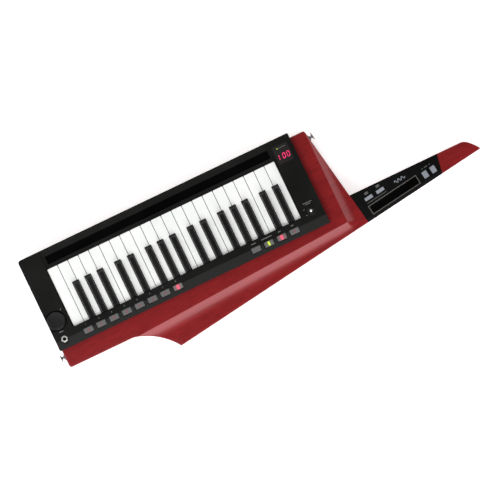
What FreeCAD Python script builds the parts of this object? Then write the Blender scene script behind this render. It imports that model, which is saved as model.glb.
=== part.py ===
import FreeCAD, Part
import math
import os

# A shoulder keyboard (keytar): a red wooden body with a thin neck, a black front panel that carries 37 small
# keys, a long touch ribbon, a display and buttons, and a black neck cover with a short ribbon and buttons.
# It lies on its back. +X runs to the neck's tip, +Y to the long ribbon's edge, +Z out of the front.
# Low notes are at +X. Millimetres; the origin is under the middle of the whole outline, on the back face.

V = FreeCAD.Vector
UP = V(0, 0, 1)

# ---------------------------------------------------------------- driving dimensions
BODY_TOP = 40.0          # thick part of the wood
NECK_TOP = 30.0          # thin part of the wood, and the neck
PANEL_TOP = 50.0
WHITE_TOP = 46.5
BLACK_TOP = 54.5
PITCH = 20.24            # one white key and its gap
WHITE_COUNT = 22
KEY_GAP = 1.0
PIVOT_Y, PIVOT_Z = -24.0, 36.0
PIVOT_R = 1.5
RUNNING = 0.08           # radial clearance on the pivot bar and the door's stubs

# front panel, in plan
PANEL_X0, PANEL_X1 = -410.0, 119.2
PANEL_Y0, PANEL_Y1 = -46.5, 129.5
WALL = 3.0
CREASE_Y = -30.0         # the panel's lower margin slopes down from here
MARGIN_Z = 45.0          # height of that slope's foot
SKIRT_Z = 20.0           # lower edge of the panel's left and top side walls
KEYS_X1 = 76.3           # right side of the lowest key's cell
KEYS_X0 = KEYS_X1 - WHITE_COUNT * PITCH
KEYS_FRONT = 93.8
BLACK_FRONT = 54.5
KEYS_REAR = -15.5
WELL_X0, WELL_X1 = -370.2, 77.5
WELL_Y0, WELL_Y1 = -16.5, 95.0
TROUGH_X0, TROUGH_X1 = -369.0, 79.0
RIBBON = (-363.0, 73.0, 101.5, 116.5)
RIBBON_FLOOR = 45.6

# wood, in plan
WOOD_X0, WOOD_Y1 = -406.5, 120.0
WOOD_Y0 = -80.2
HORN_TIP = (-212.1, -129.5)
NECK_TIP = (413.5, -43.1)
NECK_Y = -17.9           # upper edge of the neck
SHOULDER = (170.6, NECK_Y)
SHOULDER_SLOPE = 0.1705  # how far the right shoulder leans, in X per Y
CREASE_POINT = (-215.0, -78.0)
CREASE_ANGLE = math.atan(0.054)
RIGHT_CREASE_X = 146.5
COVE_WIDTH = 24.0
POCKET = (-401.0, 113.0, -40.5, 114.5)
POCKET_FLOOR = 8.0
BACK_OPENING = (-362.0, 82.0, -22.0, 92.0)
REBATE = (-370.0, 90.0, -30.0, 100.0)
COVER_T = 3.0
BAY = (-410.0, -362.0, 28.0, 112.0)
BAY_TOP = 19.0
NECK_FLOOR = 18.0

# controls
DIAL = (-393.0, 5.5)
DIAL_R = 16.5
DIAL_WELL_R = 18.5
DIAL_FLOOR = 43.0
JACK = (-393.5, -29.5)
JACK_BORE_R = 3.2
TOGGLE = (97.5, -12.5)
TOGGLE_PIVOT_Z = 49.0
BUTTON_Y = -33.2
BUTTON_PITCH = 25.05
MEMORY_X = [-348.0 + BUTTON_PITCH * i for i in range(8)]
FUNCTION_X = [-19.3 + BUTTON_PITCH * i for i in range(4)]
CAP_W, CAP_D = 17.0, 9.5
BOARD_Z = 36.4           # underside of the button boards
WINDOW = (82.0, 111.0, 83.5, 116.5)
NECK_TURN = 7.9          # the neck's controls lie along its lower edge
SHORT_RIBBON = (242.75, -51.1)
SHORT_RIBBON_L, SHORT_RIBBON_W = 97.9, 14.6
MODE_BUTTONS = [(199.5, -36.2), (223.3, -33.2)]
MODE_CAP = (15.5, 6.0)
OCTAVE_BUTTONS = [(307.5, -42.2), (324.0, -40.0)]
OCTAVE_CAP = (9.3, 12.4)
NECK_BOSSES = [(184.0, -30.0), (186.0, -64.0), (262.0, -24.5), (331.0, -25.0)]
STRAP_PINS = [((WOOD_X0, -59.0), (-1.0, 0.0)),
              ((SHOULDER[0] - SHOULDER_SLOPE * (104.0 - NECK_Y), 104.0), (0.9858, 0.1681))]
STRAP_PIN_Z = 20.0

# battery bay in the back cover
DOOR = (-86.0, 71.0, 18.0, 58.0)
DOOR_GAP = 0.3
DOOR_AXIS_Y, DOOR_AXIS_Z = 19.3, 1.2
CELL_R, CELL_L = 7.1, 50.5
CELL_Z = 10.4            # height of the cells' axes
COVER_SCREWS = [(-366, -26), (-366, 8), (-250, -26), (-140, -26), (-30, -26), (86, -26),
                (86, 35), (86, 96), (-30, 96), (-140, 96), (-250, 96)]

# sockets in the side bay, by their place along Y
SOCKET_Z = 11.0
PLATE_X0, PLATE_X1 = -376.0, -374.0
SWITCH_Y, POWER_Y, USB_Y, MIDI_Y = 39.0, 52.0, 65.0, 81.0
MINI_JACK_Y = [95.0, 105.0]
MINI_JACK_R = 1.8


# ---------------------------------------------------------------- shape helpers
def box(x0, x1, y0, y1, z0, z1):
    return Part.makeBox(x1 - x0, y1 - y0, z1 - z0, V(x0, y0, z0))


def tube(x, y, z0, z1, r):
    return Part.makeCylinder(r, z1 - z0, V(x, y, z0), UP)


def rod(start, direction, length, r):
    return Part.makeCylinder(r, length, V(*start), V(*direction))


def prism(points, z0, z1):
    """A plan polygon, raised from z0 to z1."""
    loop = [V(x, y, z0) for x, y in points]
    return Part.Face(Part.makePolygon(loop + loop[:1])).extrude(V(0, 0, z1 - z0))


def prism_x(points, x0, x1):
    """A polygon of (y, z) points, carried from x0 to x1."""
    loop = [V(x0, y, z) for y, z in points]
    return Part.Face(Part.makePolygon(loop + loop[:1])).extrude(V(x1 - x0, 0, 0))


def rounded(cx, cy, w, d, r, z0, z1, turn=0.0):
    """A rounded rectangle in plan, turned about its centre by some degrees."""
    x, y = w / 2, d / 2
    k = r * (1 - math.sqrt(0.5))
    edges = []
    for sx, sy in ((1, 1), (-1, 1), (-1, -1), (1, -1)):
        a, b = V(sx * x, sy * (y - r), 0), V(sx * (x - r), sy * y, 0)
        ends = (a, b) if sx * sy > 0 else (b, a)
        edges.append(Part.Arc(ends[0], V(sx * (x - k), sy * (y - k), 0), ends[1]).toShape())
    loop = []
    for i, edge in enumerate(edges):
        following = edges[(i + 1) % 4]
        loop.append(edge)
        loop.append(Part.LineSegment(edge.Vertexes[-1].Point, following.Vertexes[0].Point).toShape())
    solid = Part.Face(Part.Wire(loop)).extrude(V(0, 0, z1 - z0))
    solid.rotate(V(0, 0, 0), UP, turn)
    solid.translate(V(cx, cy, z0))
    return solid


def joined(shapes):
    """One fused solid of touching or overlapping shapes."""
    return shapes[0].fuse(shapes[1:]).removeSplitter() if len(shapes) > 1 else shapes[0]


def lathe(outline, base, direction):
    """A closed outline of (radius, along) points, turned about a line from base."""
    points = [V(r, 0, a) for r, a in outline]
    solid = Part.Face(Part.makePolygon(points + points[:1])).revolve(V(0, 0, 0), UP, 360)
    solid.Placement = FreeCAD.Placement(V(*base), FreeCAD.Rotation(UP, V(*direction)))
    return solid


def write(name, shapes):
    """Saves one node. Separate solids in a list stay separate."""
    shape = shapes if isinstance(shapes, Part.Shape) else Part.makeCompound(shapes)
    for solid in shape.Solids:
        if not solid.isValid() or solid.Volume <= 0:
            raise ValueError("bad solid in " + name)
    shape.exportStep("parts/" + name + ".step")


# ---------------------------------------------------------------- wooden body
def lower_edge_y(x):
    """The straight lower edge from the horn to the neck's tip."""
    slope = (NECK_TIP[1] - HORN_TIP[1]) / (NECK_TIP[0] - HORN_TIP[0])
    return HORN_TIP[1] + slope * (x - HORN_TIP[0])


def shoulder_x(y):
    """The leaning right shoulder, which runs on as the neck cover's left end."""
    return SHOULDER[0] - SHOULDER_SLOPE * (y - SHOULDER[1])


def turning_arc(x, y, heading, r, sweep):
    """A clockwise arc and its end, from a point with a heading in degrees."""
    a0, a1 = math.radians(heading), math.radians(heading - sweep)
    mid = (a0 + a1) / 2
    cx, cy = x + r * math.sin(a0), y - r * math.cos(a0)
    on = lambda a: V(cx - r * math.sin(a), cy + r * math.cos(a), 0)
    return Part.Arc(on(a0), on(mid), on(a1)).toShape(), on(a1)


def wood_outline():
    """Outline in plan: square left end, swept horn, long straight lower edge, neck, head and shoulder."""
    corner, ease_r, ease_turn, sweep_r = 5.0, 36.0, 16.5, 116.0
    drop = ease_r * (1 - math.cos(math.radians(ease_turn)))
    end = math.degrees(math.acos(math.cos(math.radians(ease_turn))
                                 - (WOOD_Y0 - drop - HORN_TIP[1]) / sweep_r))
    run = (ease_r * math.sin(math.radians(ease_turn))
           + sweep_r * (math.sin(math.radians(end)) - math.sin(math.radians(ease_turn))))
    ease_x = HORN_TIP[0] - run
    ease, at = turning_arc(ease_x, WOOD_Y0, 0.0, ease_r, ease_turn)
    sweep, tip = turning_arc(at.x, at.y, -ease_turn, sweep_r, end - ease_turn)
    line = lambda a, b: Part.LineSegment(V(*a), V(*b)).toShape()
    arc = lambda a, b, c: Part.Arc(V(*a), V(*b), V(*c)).toShape()
    k = corner * (1 - math.sqrt(0.5))
    nose, nose_end = NECK_TIP, (414.95, -41.2)
    brow, head = (397.0, -21.6), (388.5, NECK_Y)
    shoulder_top = (shoulder_x(WOOD_Y1 - 3.2), WOOD_Y1 - 3.2)
    edges = [
        line((WOOD_X0, WOOD_Y1), (WOOD_X0, WOOD_Y0 + corner)),
        arc((WOOD_X0, WOOD_Y0 + corner), (WOOD_X0 + k, WOOD_Y0 + k), (WOOD_X0 + corner, WOOD_Y0)),
        line((WOOD_X0 + corner, WOOD_Y0), (ease_x, WOOD_Y0)),
        ease,
        sweep,
        line((tip.x, tip.y), nose),
        arc(nose, (414.7, -42.4), nose_end),
        arc(nose_end, (406.7, -30.3), brow),
        arc(brow, (393.5, -18.9), head),
        line(head, SHOULDER),
        line(SHOULDER, shoulder_top),
        arc(shoulder_top, (shoulder_top[0] - 1.3, WOOD_Y1 - 0.8), (shoulder_top[0] - 3.6, WOOD_Y1)),
        line((shoulder_top[0] - 3.6, WOOD_Y1), (WOOD_X0, WOOD_Y1)),
    ]
    return Part.Wire(edges)


def cove_cutter(origin, outward, length):
    """What is removed beyond a crease: a hollow sweep down to the thin level, then flat."""
    depth = BODY_TOP - NECK_TOP
    half = math.atan2(depth, COVE_WIDTH)
    radius = COVE_WIDTH / math.sin(2 * half)
    place = lambda d, z: V(*origin, 0) + V(*outward, 0) * d + V(0, 0, z)
    mid = place(COVE_WIDTH - radius * math.sin(half), NECK_TOP + radius * (1 - math.cos(half)))
    far, high = 700.0, BODY_TOP + 20
    corners = [place(COVE_WIDTH, NECK_TOP), place(far, NECK_TOP), place(far, high), place(0, high),
               place(0, BODY_TOP)]
    edges = [Part.Arc(corners[-1], mid, corners[0]).toShape()]
    edges += [Part.LineSegment(a, b).toShape() for a, b in zip(corners, corners[1:])]
    along = V(-outward[1], outward[0], 0)
    face = Part.Face(Part.Wire(edges))
    face.translate(along * (-length / 2))
    return face.extrude(along * length)


def neck_plan(inset=0.0, reach=0.0):
    """The black part of the neck in plan, between two leaning ends. Reach carries it past the neck's edges."""
    foot_x, end_foot_x = 180.35, 335.4
    top, foot, end_foot = NECK_Y + reach, lower_edge_y(foot_x) - reach, lower_edge_y(end_foot_x) - reach
    end_slope = (341.5 - end_foot_x) / (NECK_Y - lower_edge_y(end_foot_x))
    end_x = lambda y: 341.5 + end_slope * (y - NECK_Y) - inset
    return [(shoulder_x(top) + inset, top), (shoulder_x(foot) + inset, foot), (end_x(end_foot), end_foot),
            (end_x(top), top)]


def wood_body():
    solid = Part.Face(wood_outline()).extrude(V(0, 0, BODY_TOP))
    below = (math.sin(CREASE_ANGLE), -math.cos(CREASE_ANGLE))
    solid = solid.cut(cove_cutter(CREASE_POINT, below, 1800.0))
    solid = solid.cut(cove_cutter((RIGHT_CREASE_X, 0.0), (1.0, 0.0), 900.0))
    over = 5.0
    over_bay = box(POCKET[0] - 1, PLATE_X1, BAY[2] - 2, POCKET[3] + 1, 0, BAY_TOP + 2.5)
    cuts = [
        box(*POCKET, POCKET_FLOOR, BODY_TOP + over).cut(over_bay),
        box(*BACK_OPENING, -over, POCKET_FLOOR + 1),
        box(*REBATE, -over, COVER_T),
        box(*BAY, -over, BAY_TOP),
        prism(neck_plan(reach=over), NECK_FLOOR, NECK_TOP + over),
    ]
    for x, y in COVER_SCREWS:
        cuts.append(tube(x, y, COVER_T - 0.5, 7.5, 1.4))
    for x, y in NECK_BOSSES:
        cuts.append(tube(x, y, -over, 6.0, 3.5))
        cuts.append(tube(x, y, 5.0, NECK_FLOOR + 1, 1.4))
    for (x, y), (ax, ay) in STRAP_PINS:
        cuts.append(rod((x + ax * over, y + ay * over, STRAP_PIN_Z), (-ax, -ay, 0), over + 16.0, 1.9))
    return solid.cut(cuts)


# ---------------------------------------------------------------- front panel
def panel_plan(z0, z1):
    """The panel's plan, with its corners rounded by different amounts."""
    solid = box(PANEL_X0, PANEL_X1, PANEL_Y0, PANEL_Y1, z0, z1)
    corners = {(PANEL_X0, PANEL_Y1): 5.0, (PANEL_X0, PANEL_Y0): 3.0, (PANEL_X1, PANEL_Y1): 2.5}
    for edge in list(solid.Edges):
        low, high = edge.BoundBox.ZMin, edge.BoundBox.ZMax
        r = corners.get((round(edge.BoundBox.XMin, 3), round(edge.BoundBox.YMin, 3)))
        if high - low > 1 and r:
            x, y = edge.BoundBox.XMin, edge.BoundBox.YMin
            sx, sy = (1 if x < 0 else -1), (1 if y < 0 else -1)
            square = box(min(x, x + sx * r), max(x, x + sx * r), min(y, y + sy * r), max(y, y + sy * r), z0, z1)
            solid = solid.cut(square.cut(tube(x + sx * r, y + sy * r, z0, z1, r)))
    return solid


def front_panel():
    rim = panel_plan(BODY_TOP, PANEL_TOP)
    sides = panel_plan(SKIRT_Z, BODY_TOP)
    inner_x, inner_y = WOOD_X0 - 0.5, WOOD_Y1 + 0.5
    hollow = box(inner_x, PANEL_X1 + 5, PANEL_Y0 - 5, inner_y, SKIRT_Z - 1, BODY_TOP)
    channel = box(inner_x, PANEL_X1 - WALL, inner_y, PANEL_Y1 - WALL, SKIRT_Z + 2.5, BODY_TOP)
    shell = joined([rim, sides.cut([hollow, channel])])
    slope = [(PANEL_Y0 - 1, MARGIN_Z - 0.3), (CREASE_Y, PANEL_TOP), (CREASE_Y, PANEL_TOP + 9),
             (PANEL_Y0 - 1, PANEL_TOP + 9)]
    x0, x1, y0, y1 = RIBBON
    trough = [(WELL_Y1, 60), (WELL_Y1, 47), (y0, 47), (y0, RIBBON_FLOOR), (y1, RIBBON_FLOOR), (y1, 47),
              (PANEL_Y1, 48.6), (PANEL_Y1 + 1, 48.7), (PANEL_Y1 + 1, 60)]
    sill = [(WELL_Y1, 60), (WELL_Y1, 47), (y1, 47), (PANEL_Y1, 48.6), (PANEL_Y1 + 1, 48.7),
            (PANEL_Y1 + 1, 60)]
    bevel = [(PANEL_Y1 - 2, PANEL_TOP), (PANEL_Y1 + 1, PANEL_TOP - 2.2), (PANEL_Y1 + 1, PANEL_TOP + 1),
             (PANEL_Y1 - 2, PANEL_TOP + 1)]
    lip = 2.0
    left_in, right_in = WELL_X0 - lip, WELL_X1 + lip
    top_in = PANEL_Y1 - WALL
    margin = [(PANEL_Y0 + WALL, 30), (PANEL_Y0 + WALL, 42.6), (CREASE_Y - 0.5, 47), (WELL_Y0 - lip, 47),
              (WELL_Y0 - lip, 30)]
    shell = shell.cut([
        prism_x(slope, PANEL_X0 - 1, PANEL_X1 + 1),
        prism_x(bevel, PANEL_X0 - 1, PANEL_X1 + 1),
        prism_x(sill, TROUGH_X0, TROUGH_X1),
        prism_x(trough, x0, x1),
        box(inner_x - 0.5, left_in, PANEL_Y0 + WALL + 8, top_in, BODY_TOP - 1, 47),
        box(right_in, PANEL_X1 - WALL, PANEL_Y0 + WALL + 8, top_in, BODY_TOP - 1, 47),
        box(left_in - 1, right_in + 1, WELL_Y1 + lip, top_in, BODY_TOP - 1, 43.6),
        prism_x(margin, PANEL_X0 + WALL, PANEL_X1 - WALL),
        box(left_in, right_in, WELL_Y0 - lip, WELL_Y1 + lip, BODY_TOP - 1, 43.6),
    ])
    well_walls = box(left_in, right_in, WELL_Y0 - lip, WELL_Y1 + lip, 34, 47).cut(
        box(left_in - 1, right_in + 1, WELL_Y0 - lip - 1, WELL_Y0, 30, 47))
    added = [
        well_walls,
        tube(*DIAL, 41, 47.5, DIAL_WELL_R + 2).common(box(PANEL_X0, 0, -60, 60, 30, 60)),
        box(PANEL_X0, DIAL[0], DIAL[1] - 19, DIAL[1] + 19, 41, 47.5),
        tube(*JACK, 44, 47.5, 10.5).common(box(PANEL_X0, 0, PANEL_Y0 + 3, 60, 30, 60)),
        box(inner_x + 0.7, POCKET[0] - 0.5, 62, 118, BODY_TOP, 47.5),
    ]
    shell = joined([shell] + added)
    cuts = [
        box(WELL_X0, WELL_X1, WELL_Y0, WELL_Y1, 30, 60),
        box(WELL_X0, WELL_X1, WELL_Y0 - lip - 1, WELL_Y0 + 1, 30, 47),
        tube(*DIAL, DIAL_FLOOR, 60, DIAL_WELL_R),
        box(PANEL_X0 - 2, DIAL[0], DIAL[1] - 17, DIAL[1] + 17, DIAL_FLOOR, 60),
        tube(*DIAL, 40, 60, 3.3),
        tube(*JACK, 46.5, 60, 8.5),
        tube(*JACK, 40, 60, 4.7),
        tube(*TOGGLE, 40, 60, 3.15),
        rounded((WINDOW[0] + WINDOW[1]) / 2, (WINDOW[2] + WINDOW[3]) / 2, WINDOW[1] - WINDOW[0],
                WINDOW[3] - WINDOW[2], 2.3, 40, 60),
    ]
    cuts += [rounded(x, BUTTON_Y, CAP_W + 3, CAP_D + 3, 1.6, 36, 60) for x in MEMORY_X + FUNCTION_X]
    return shell.cut(cuts)


def long_ribbon():
    x0, x1, y0, y1 = RIBBON
    gap = 0.15
    return box(x0 + gap, x1 - gap, y0 + gap, y1 - gap, RIBBON_FLOOR, RIBBON_FLOOR + 0.5)


def display_module():
    """Smoked window on its digit block, with a small board behind."""
    cx, cy = (WINDOW[0] + WINDOW[1]) / 2, (WINDOW[2] + WINDOW[3]) / 2
    return joined([
        rounded(cx, cy, WINDOW[1] - WINDOW[0], WINDOW[3] - WINDOW[2], 2.3, 48.0, PANEL_TOP - 0.3),
        box(cx - 13, cx + 13, cy - 12, cy + 8, 43.5, 48.0),
        box(cx - 14, cx + 14, cy - 15, cy + 15, 41.9, 43.5),
    ])


# ---------------------------------------------------------------- keys
NOTES = ["c", "cs", "d", "ds", "e", "f", "fs", "g", "gs", "a", "as", "b"]
BLACK_SHIFT = {"cs": -2.4, "ds": 2.4, "fs": -3.5, "gs": 0.0, "as": 3.5}   # towards higher notes
BLACK_W, BLACK_CROWN_W = 11.5, 8.2
WHITE_CORNER_R = 1.4
SIDE_GAP = 0.8
FIRST_OCTAVE = 3


def key_layout():
    """Every key as (name, kind, low X, high X). Cells run from right to left, from low to high."""
    whites, blacks = [], []
    octave = FIRST_OCTAVE
    edge = KEYS_X1
    while len(whites) < WHITE_COUNT:
        for note in NOTES:
            if len(whites) == WHITE_COUNT:
                break
            if note in BLACK_SHIFT:
                centre = edge - BLACK_SHIFT[note]
                blacks.append((note + str(octave), centre))
            else:
                whites.append((note + str(octave), edge - PITCH, edge))
                edge -= PITCH
        octave += 1
    return whites, blacks


def pivot_bore():
    return rod((-500, PIVOT_Y, PIVOT_Z), (1, 0, 0), 1000, PIVOT_R + RUNNING)


def white_key(x0, x1, blacks):
    """Full width at the front, narrowed behind the black keys, hollow below, bored for the pivot bar."""
    a, b = x0 + KEY_GAP / 2, x1 - KEY_GAP / 2
    notch = BLACK_FRONT + KEY_GAP
    t0, t1 = a, b
    for centre in blacks:
        low, high = centre - BLACK_W / 2 - SIDE_GAP, centre + BLACK_W / 2 + SIDE_GAP
        if low < a < high:
            t0 = high
        elif low < b < high:
            t1 = low
    rear, skirt, wall = PIVOT_Y + 3.5, 32.0, 1.6
    plan = lambda g: [(a + g, KEYS_FRONT - g), (a + g, notch + g), (t0 + g, notch + g), (t0 + g, rear + g),
                      (t1 - g, rear + g), (t1 - g, notch + g), (b - g, notch + g), (b - g, KEYS_FRONT - g)]
    unique = lambda pts: [p for i, p in enumerate(pts) if p != pts[i - 1]]
    outer = prism(unique(plan(0.0)), skirt, WHITE_TOP)
    outer = outer.makeFillet(WHITE_CORNER_R, [edge for edge in outer.Edges if edge.BoundBox.YMin > KEYS_FRONT - 0.1
                                              and edge.BoundBox.ZLength > 1])
    hollow = prism(unique(plan(wall)), skirt - 1, WHITE_TOP - 1.8)
    tail = box(t0 + 0.9, t1 - 0.9, PIVOT_Y - 3.5, rear + 2.5, PIVOT_Z - 3.5, PIVOT_Z + 3.5)
    return joined([outer.cut(hollow), tail]).cut(pivot_bore())


def black_key(centre):
    """A tapered cap with a sloped front, hollow below, on a tail that is bored for the pivot bar."""
    half, crown = BLACK_W / 2, BLACK_CROWN_W / 2
    foot, lean = 38.0, 5.0
    section = [V(centre - half, KEYS_REAR, foot), V(centre + half, KEYS_REAR, foot),
               V(centre + half, KEYS_REAR, WHITE_TOP), V(centre + crown, KEYS_REAR, BLACK_TOP),
               V(centre - crown, KEYS_REAR, BLACK_TOP), V(centre - half, KEYS_REAR, WHITE_TOP)]
    cap = Part.Face(Part.makePolygon(section + section[:1])).extrude(V(0, BLACK_FRONT - KEYS_REAR, 0))
    face = [(BLACK_FRONT + 1, WHITE_TOP), (BLACK_FRONT, WHITE_TOP), (BLACK_FRONT - lean, BLACK_TOP),
            (BLACK_FRONT - lean, BLACK_TOP + 1), (BLACK_FRONT + 1, BLACK_TOP + 1)]
    cap = cap.cut(prism_x(face, centre - half - 1, centre + half + 1))
    wall = 1.5
    hollow = box(centre - crown + wall, centre + crown - wall, KEYS_REAR + 6, BLACK_FRONT - lean - wall,
                 foot - 1, BLACK_TOP - 2)
    tail = box(centre - half + 1.2, centre + half - 1.2, PIVOT_Y - 3.5, KEYS_REAR + 3, PIVOT_Z - 3.5,
               PIVOT_Z + 3.5)
    return joined([cap.cut(hollow), tail]).cut(pivot_bore())


def key_frame(whites, blacks):
    """The tray under the keys: pivot bar on its brackets, guide posts, rest rail and feet."""
    base_z0, base_z1 = 20.0, 22.5
    rear, front = PIVOT_Y - 5, 94.0
    end0, end1 = KEYS_X0 - 2.6, KEYS_X1 + 2.6
    parts = [box(end0, end1, rear, front, base_z0, base_z1)]
    parts.append(rod((end0, PIVOT_Y, PIVOT_Z), (1, 0, 0), end1 - end0, PIVOT_R))
    bracket = lambda x0, x1: box(x0, x1, rear, PIVOT_Y + 2.5, base_z1 - 0.5, PIVOT_Z + 3.5)
    parts += [bracket(end0, end0 + 2.2), bracket(end1 - 2.2, end1)]
    parts += [bracket(x0 - 0.7, x0 + 0.7) for name, x0, x1 in whites[:-1] if name[0] in "be"]
    for name, x0, x1 in whites:
        middle = (x0 + x1) / 2
        parts.append(box(middle - 2.5, middle + 2.5, 84, 88, base_z1 - 0.5, 36))
    for name, centre in blacks:
        parts.append(box(centre - 1.8, centre + 1.8, 42, 46, base_z1 - 0.5, 40))
    parts.append(box(end0 + 2, end1 - 2, 76, 82, base_z1 - 0.5, 24))
    parts.append(box(-399, end0 + 1, -20, 18, POCKET_FLOOR, base_z1))
    parts.append(box(end1 - 1, 110, rear + 1, 90, POCKET_FLOOR, base_z1))
    parts.append(box(DIAL[0] - 5, DIAL[0] + 5, DIAL[1] - 5, DIAL[1] + 5, base_z1 - 0.5, 33.0))
    for row in (MEMORY_X, FUNCTION_X):
        parts.append(box(row[0] - 10, row[-1] + 10, -39.5, rear + 1, base_z0, base_z1))
        parts += [box(x - 3, x + 3, -39.0, -33.0, base_z1 - 0.5, BOARD_Z) for x in (row[0], row[-1])]
    tray = joined(parts)
    return tray.cut([box(-395, end0 - 4, -16, 14, 0, base_z1 - 2.5),
                     box(84, 106, rear + 5, 86, 0, base_z1 - 2.5)])


# ---------------------------------------------------------------- panel controls
def button_strip(places):
    """A row of square caps moulded on one thin carrier."""
    carrier_z, carrier_t = 41.0, 1.2
    x0, x1 = places[0] - 11.5, places[-1] + 11.5
    caps = [rounded(x, BUTTON_Y, CAP_W, CAP_D, 0.8, carrier_z, 48.6) for x in places]
    return joined([box(x0, x1, -40.4, -27.0, carrier_z, carrier_z + carrier_t)] + caps)


def value_dial():
    """A flat round dial on its shaft."""
    top = 52.0
    return lathe([(0, 34), (3.0, 34), (3.0, DIAL_FLOOR + 0.8), (DIAL_R, DIAL_FLOOR + 0.8),
                  (DIAL_R, top - 0.8), (DIAL_R - 0.8, top), (0, top)], (*DIAL, 0), (0, 0, 1))


def toggle_switch():
    """Switch body below the panel, threaded bush through it, dress ring and nut on top."""
    x, y = TOGGLE
    cup_r = 2.48
    body = joined([
        box(x - 4.5, x + 4.5, y - 6.5, y + 6.5, 36, 47),
        tube(x, y, 46, 53.0, 3.1),
    ]).cut(tube(x, y, 45.5, 54, cup_r))
    ring = tube(x, y, PANEL_TOP, 51.0, 8.5).cut(tube(x, y, 49, 52, 3.12))
    nut = tube(x, y, 51.0, 53.2, 5.4).cut(tube(x, y, 49, 54, 3.12))
    return [body, ring, nut]


def toggle_lever():
    """A bat lever with a round tip, on a ball in the switch's bush."""
    rod_r, tip_r, tip_z, ball_r = 1.15, 2.7, 57.3, 2.4
    shaft = lathe([(0, TOGGLE_PIVOT_Z), (rod_r, TOGGLE_PIVOT_Z), (rod_r, 54.0), (tip_r - 0.3, tip_z),
                   (0, tip_z)], (*TOGGLE, 0), (0, 0, 1))
    tip = Part.makeSphere(tip_r, V(*TOGGLE, tip_z))
    ball = Part.makeSphere(ball_r, V(*TOGGLE, TOGGLE_PIVOT_Z))
    return joined([shaft, tip, ball])


def output_jack():
    """A 6.35 mm socket: threaded barrel with its nut in the panel's recess, and its body below."""
    x, y = JACK
    depth = 16.5
    barrel = joined([tube(x, y, 43.9, 49.6, 4.6), box(x - 7, x + 7, y - 7, y + 7, depth - 1.5, 43.9)])
    barrel = barrel.cut(tube(x, y, depth, 60, JACK_BORE_R))
    corner = 6.3
    hexagon = [(x + corner * math.cos(math.radians(60 * i + 10)), y + corner * math.sin(math.radians(60 * i + 10)))
               for i in range(6)]
    nut = prism(hexagon, 46.5, 48.8).cut(tube(x, y, 46, 50, 4.62))
    return [barrel, nut]


def strap_pins():
    """Headed strap buttons, screwed into the left end and the right shoulder."""
    outline = [(0, -15), (1.9, -15), (1.9, 0), (6.0, 0), (6.0, 1.0), (4.2, 1.3), (2.6, 2.4), (2.6, 5.6),
               (6.9, 6.2), (7.5, 7.0), (7.3, 8.2), (0, 8.5)]
    return [lathe(outline, (x, y, STRAP_PIN_Z), (ax, ay, 0)) for (x, y), (ax, ay) in STRAP_PINS]


# ---------------------------------------------------------------- neck
def neck_cover():
    """Black shell flush with the wood at both ends, with screw bosses inside."""
    outer = prism(neck_plan(0.15), NECK_FLOOR, NECK_TOP)
    foot = lower_edge_y(160.0) - 0.5
    foot_end = lower_edge_y(360.0) - 0.5
    tilt = V(200.0, foot_end - foot, 0).normalize()
    start = V(160.0, foot, 0)
    side = V(-tilt.y, tilt.x, 0)
    corner = [start + V(0, 0, NECK_TOP - 1.8), start + side * 6.5 + V(0, 0, NECK_TOP + 0.01),
              start + V(0, 0, NECK_TOP + 1)]
    chamfer = Part.Face(Part.makePolygon(corner + corner[:1])).extrude(tilt * 205)
    t = 2.5
    (ax, ay), (bx, by), (cx, cy), (dx, dy) = neck_plan(0.15)
    inner = prism([(ax + t + 0.5, ay - t), (bx + t, by + t + 3.5), (cx - t, cy + t + 3.5), (dx - t - 0.5, dy - t)],
                  NECK_FLOOR - 1, NECK_TOP - 2.5)
    shell = outer.cut([chamfer, inner])
    shell = joined([shell] + [tube(x, y, NECK_FLOOR, NECK_TOP - 2, 3.5) for x, y in NECK_BOSSES])
    cuts = [tube(x, y, NECK_FLOOR - 1, 26, 1.4) for x, y in NECK_BOSSES]
    cuts.append(rounded(*SHORT_RIBBON, SHORT_RIBBON_L + 3.9, SHORT_RIBBON_W + 3.6, 0.6, 29.0, 31, NECK_TURN))
    cuts += [rounded(x, y, MODE_CAP[0] + 0.6, MODE_CAP[1] + 0.6, 0.6, 20, 31, NECK_TURN)
             for x, y in MODE_BUTTONS]
    cuts += [rounded(x, y, OCTAVE_CAP[0] + 0.6, OCTAVE_CAP[1] + 0.6, 0.6, 20, 31, NECK_TURN)
             for x, y in OCTAVE_BUTTONS]
    return shell.cut(cuts)


def short_ribbon():
    """Touch film in a raised thin frame."""
    l, w = SHORT_RIBBON_L, SHORT_RIBBON_W
    film = rounded(*SHORT_RIBBON, l + 3.6, w + 3.3, 0.5, 29.0, 29.5, NECK_TURN)
    frame = rounded(*SHORT_RIBBON, l + 3.6, w + 3.3, 0.5, 29.4, 30.4, NECK_TURN)
    frame = frame.cut(rounded(*SHORT_RIBBON, l, w, 0.3, 29.0, 31, NECK_TURN))
    return joined([film, frame])


def neck_buttons(places, cap):
    """Two caps on one flanged carrier under the neck cover."""
    carrier_z, carrier_t = 25.2, 1.3
    (x0, y0), (x1, y1) = places
    middle = ((x0 + x1) / 2, (y0 + y1) / 2)
    caps = [rounded(x, y, cap[0], cap[1], 0.5, carrier_z, 31.0, NECK_TURN) for x, y in places]
    spread = math.hypot(x1 - x0, y1 - y0)
    carrier = rounded(*middle, spread + cap[0] + 2, cap[1] + 1.6, 0.5, carrier_z, carrier_z + carrier_t,
                      math.degrees(math.atan2(y1 - y0, x1 - x0)))
    return joined([carrier] + caps)


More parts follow.
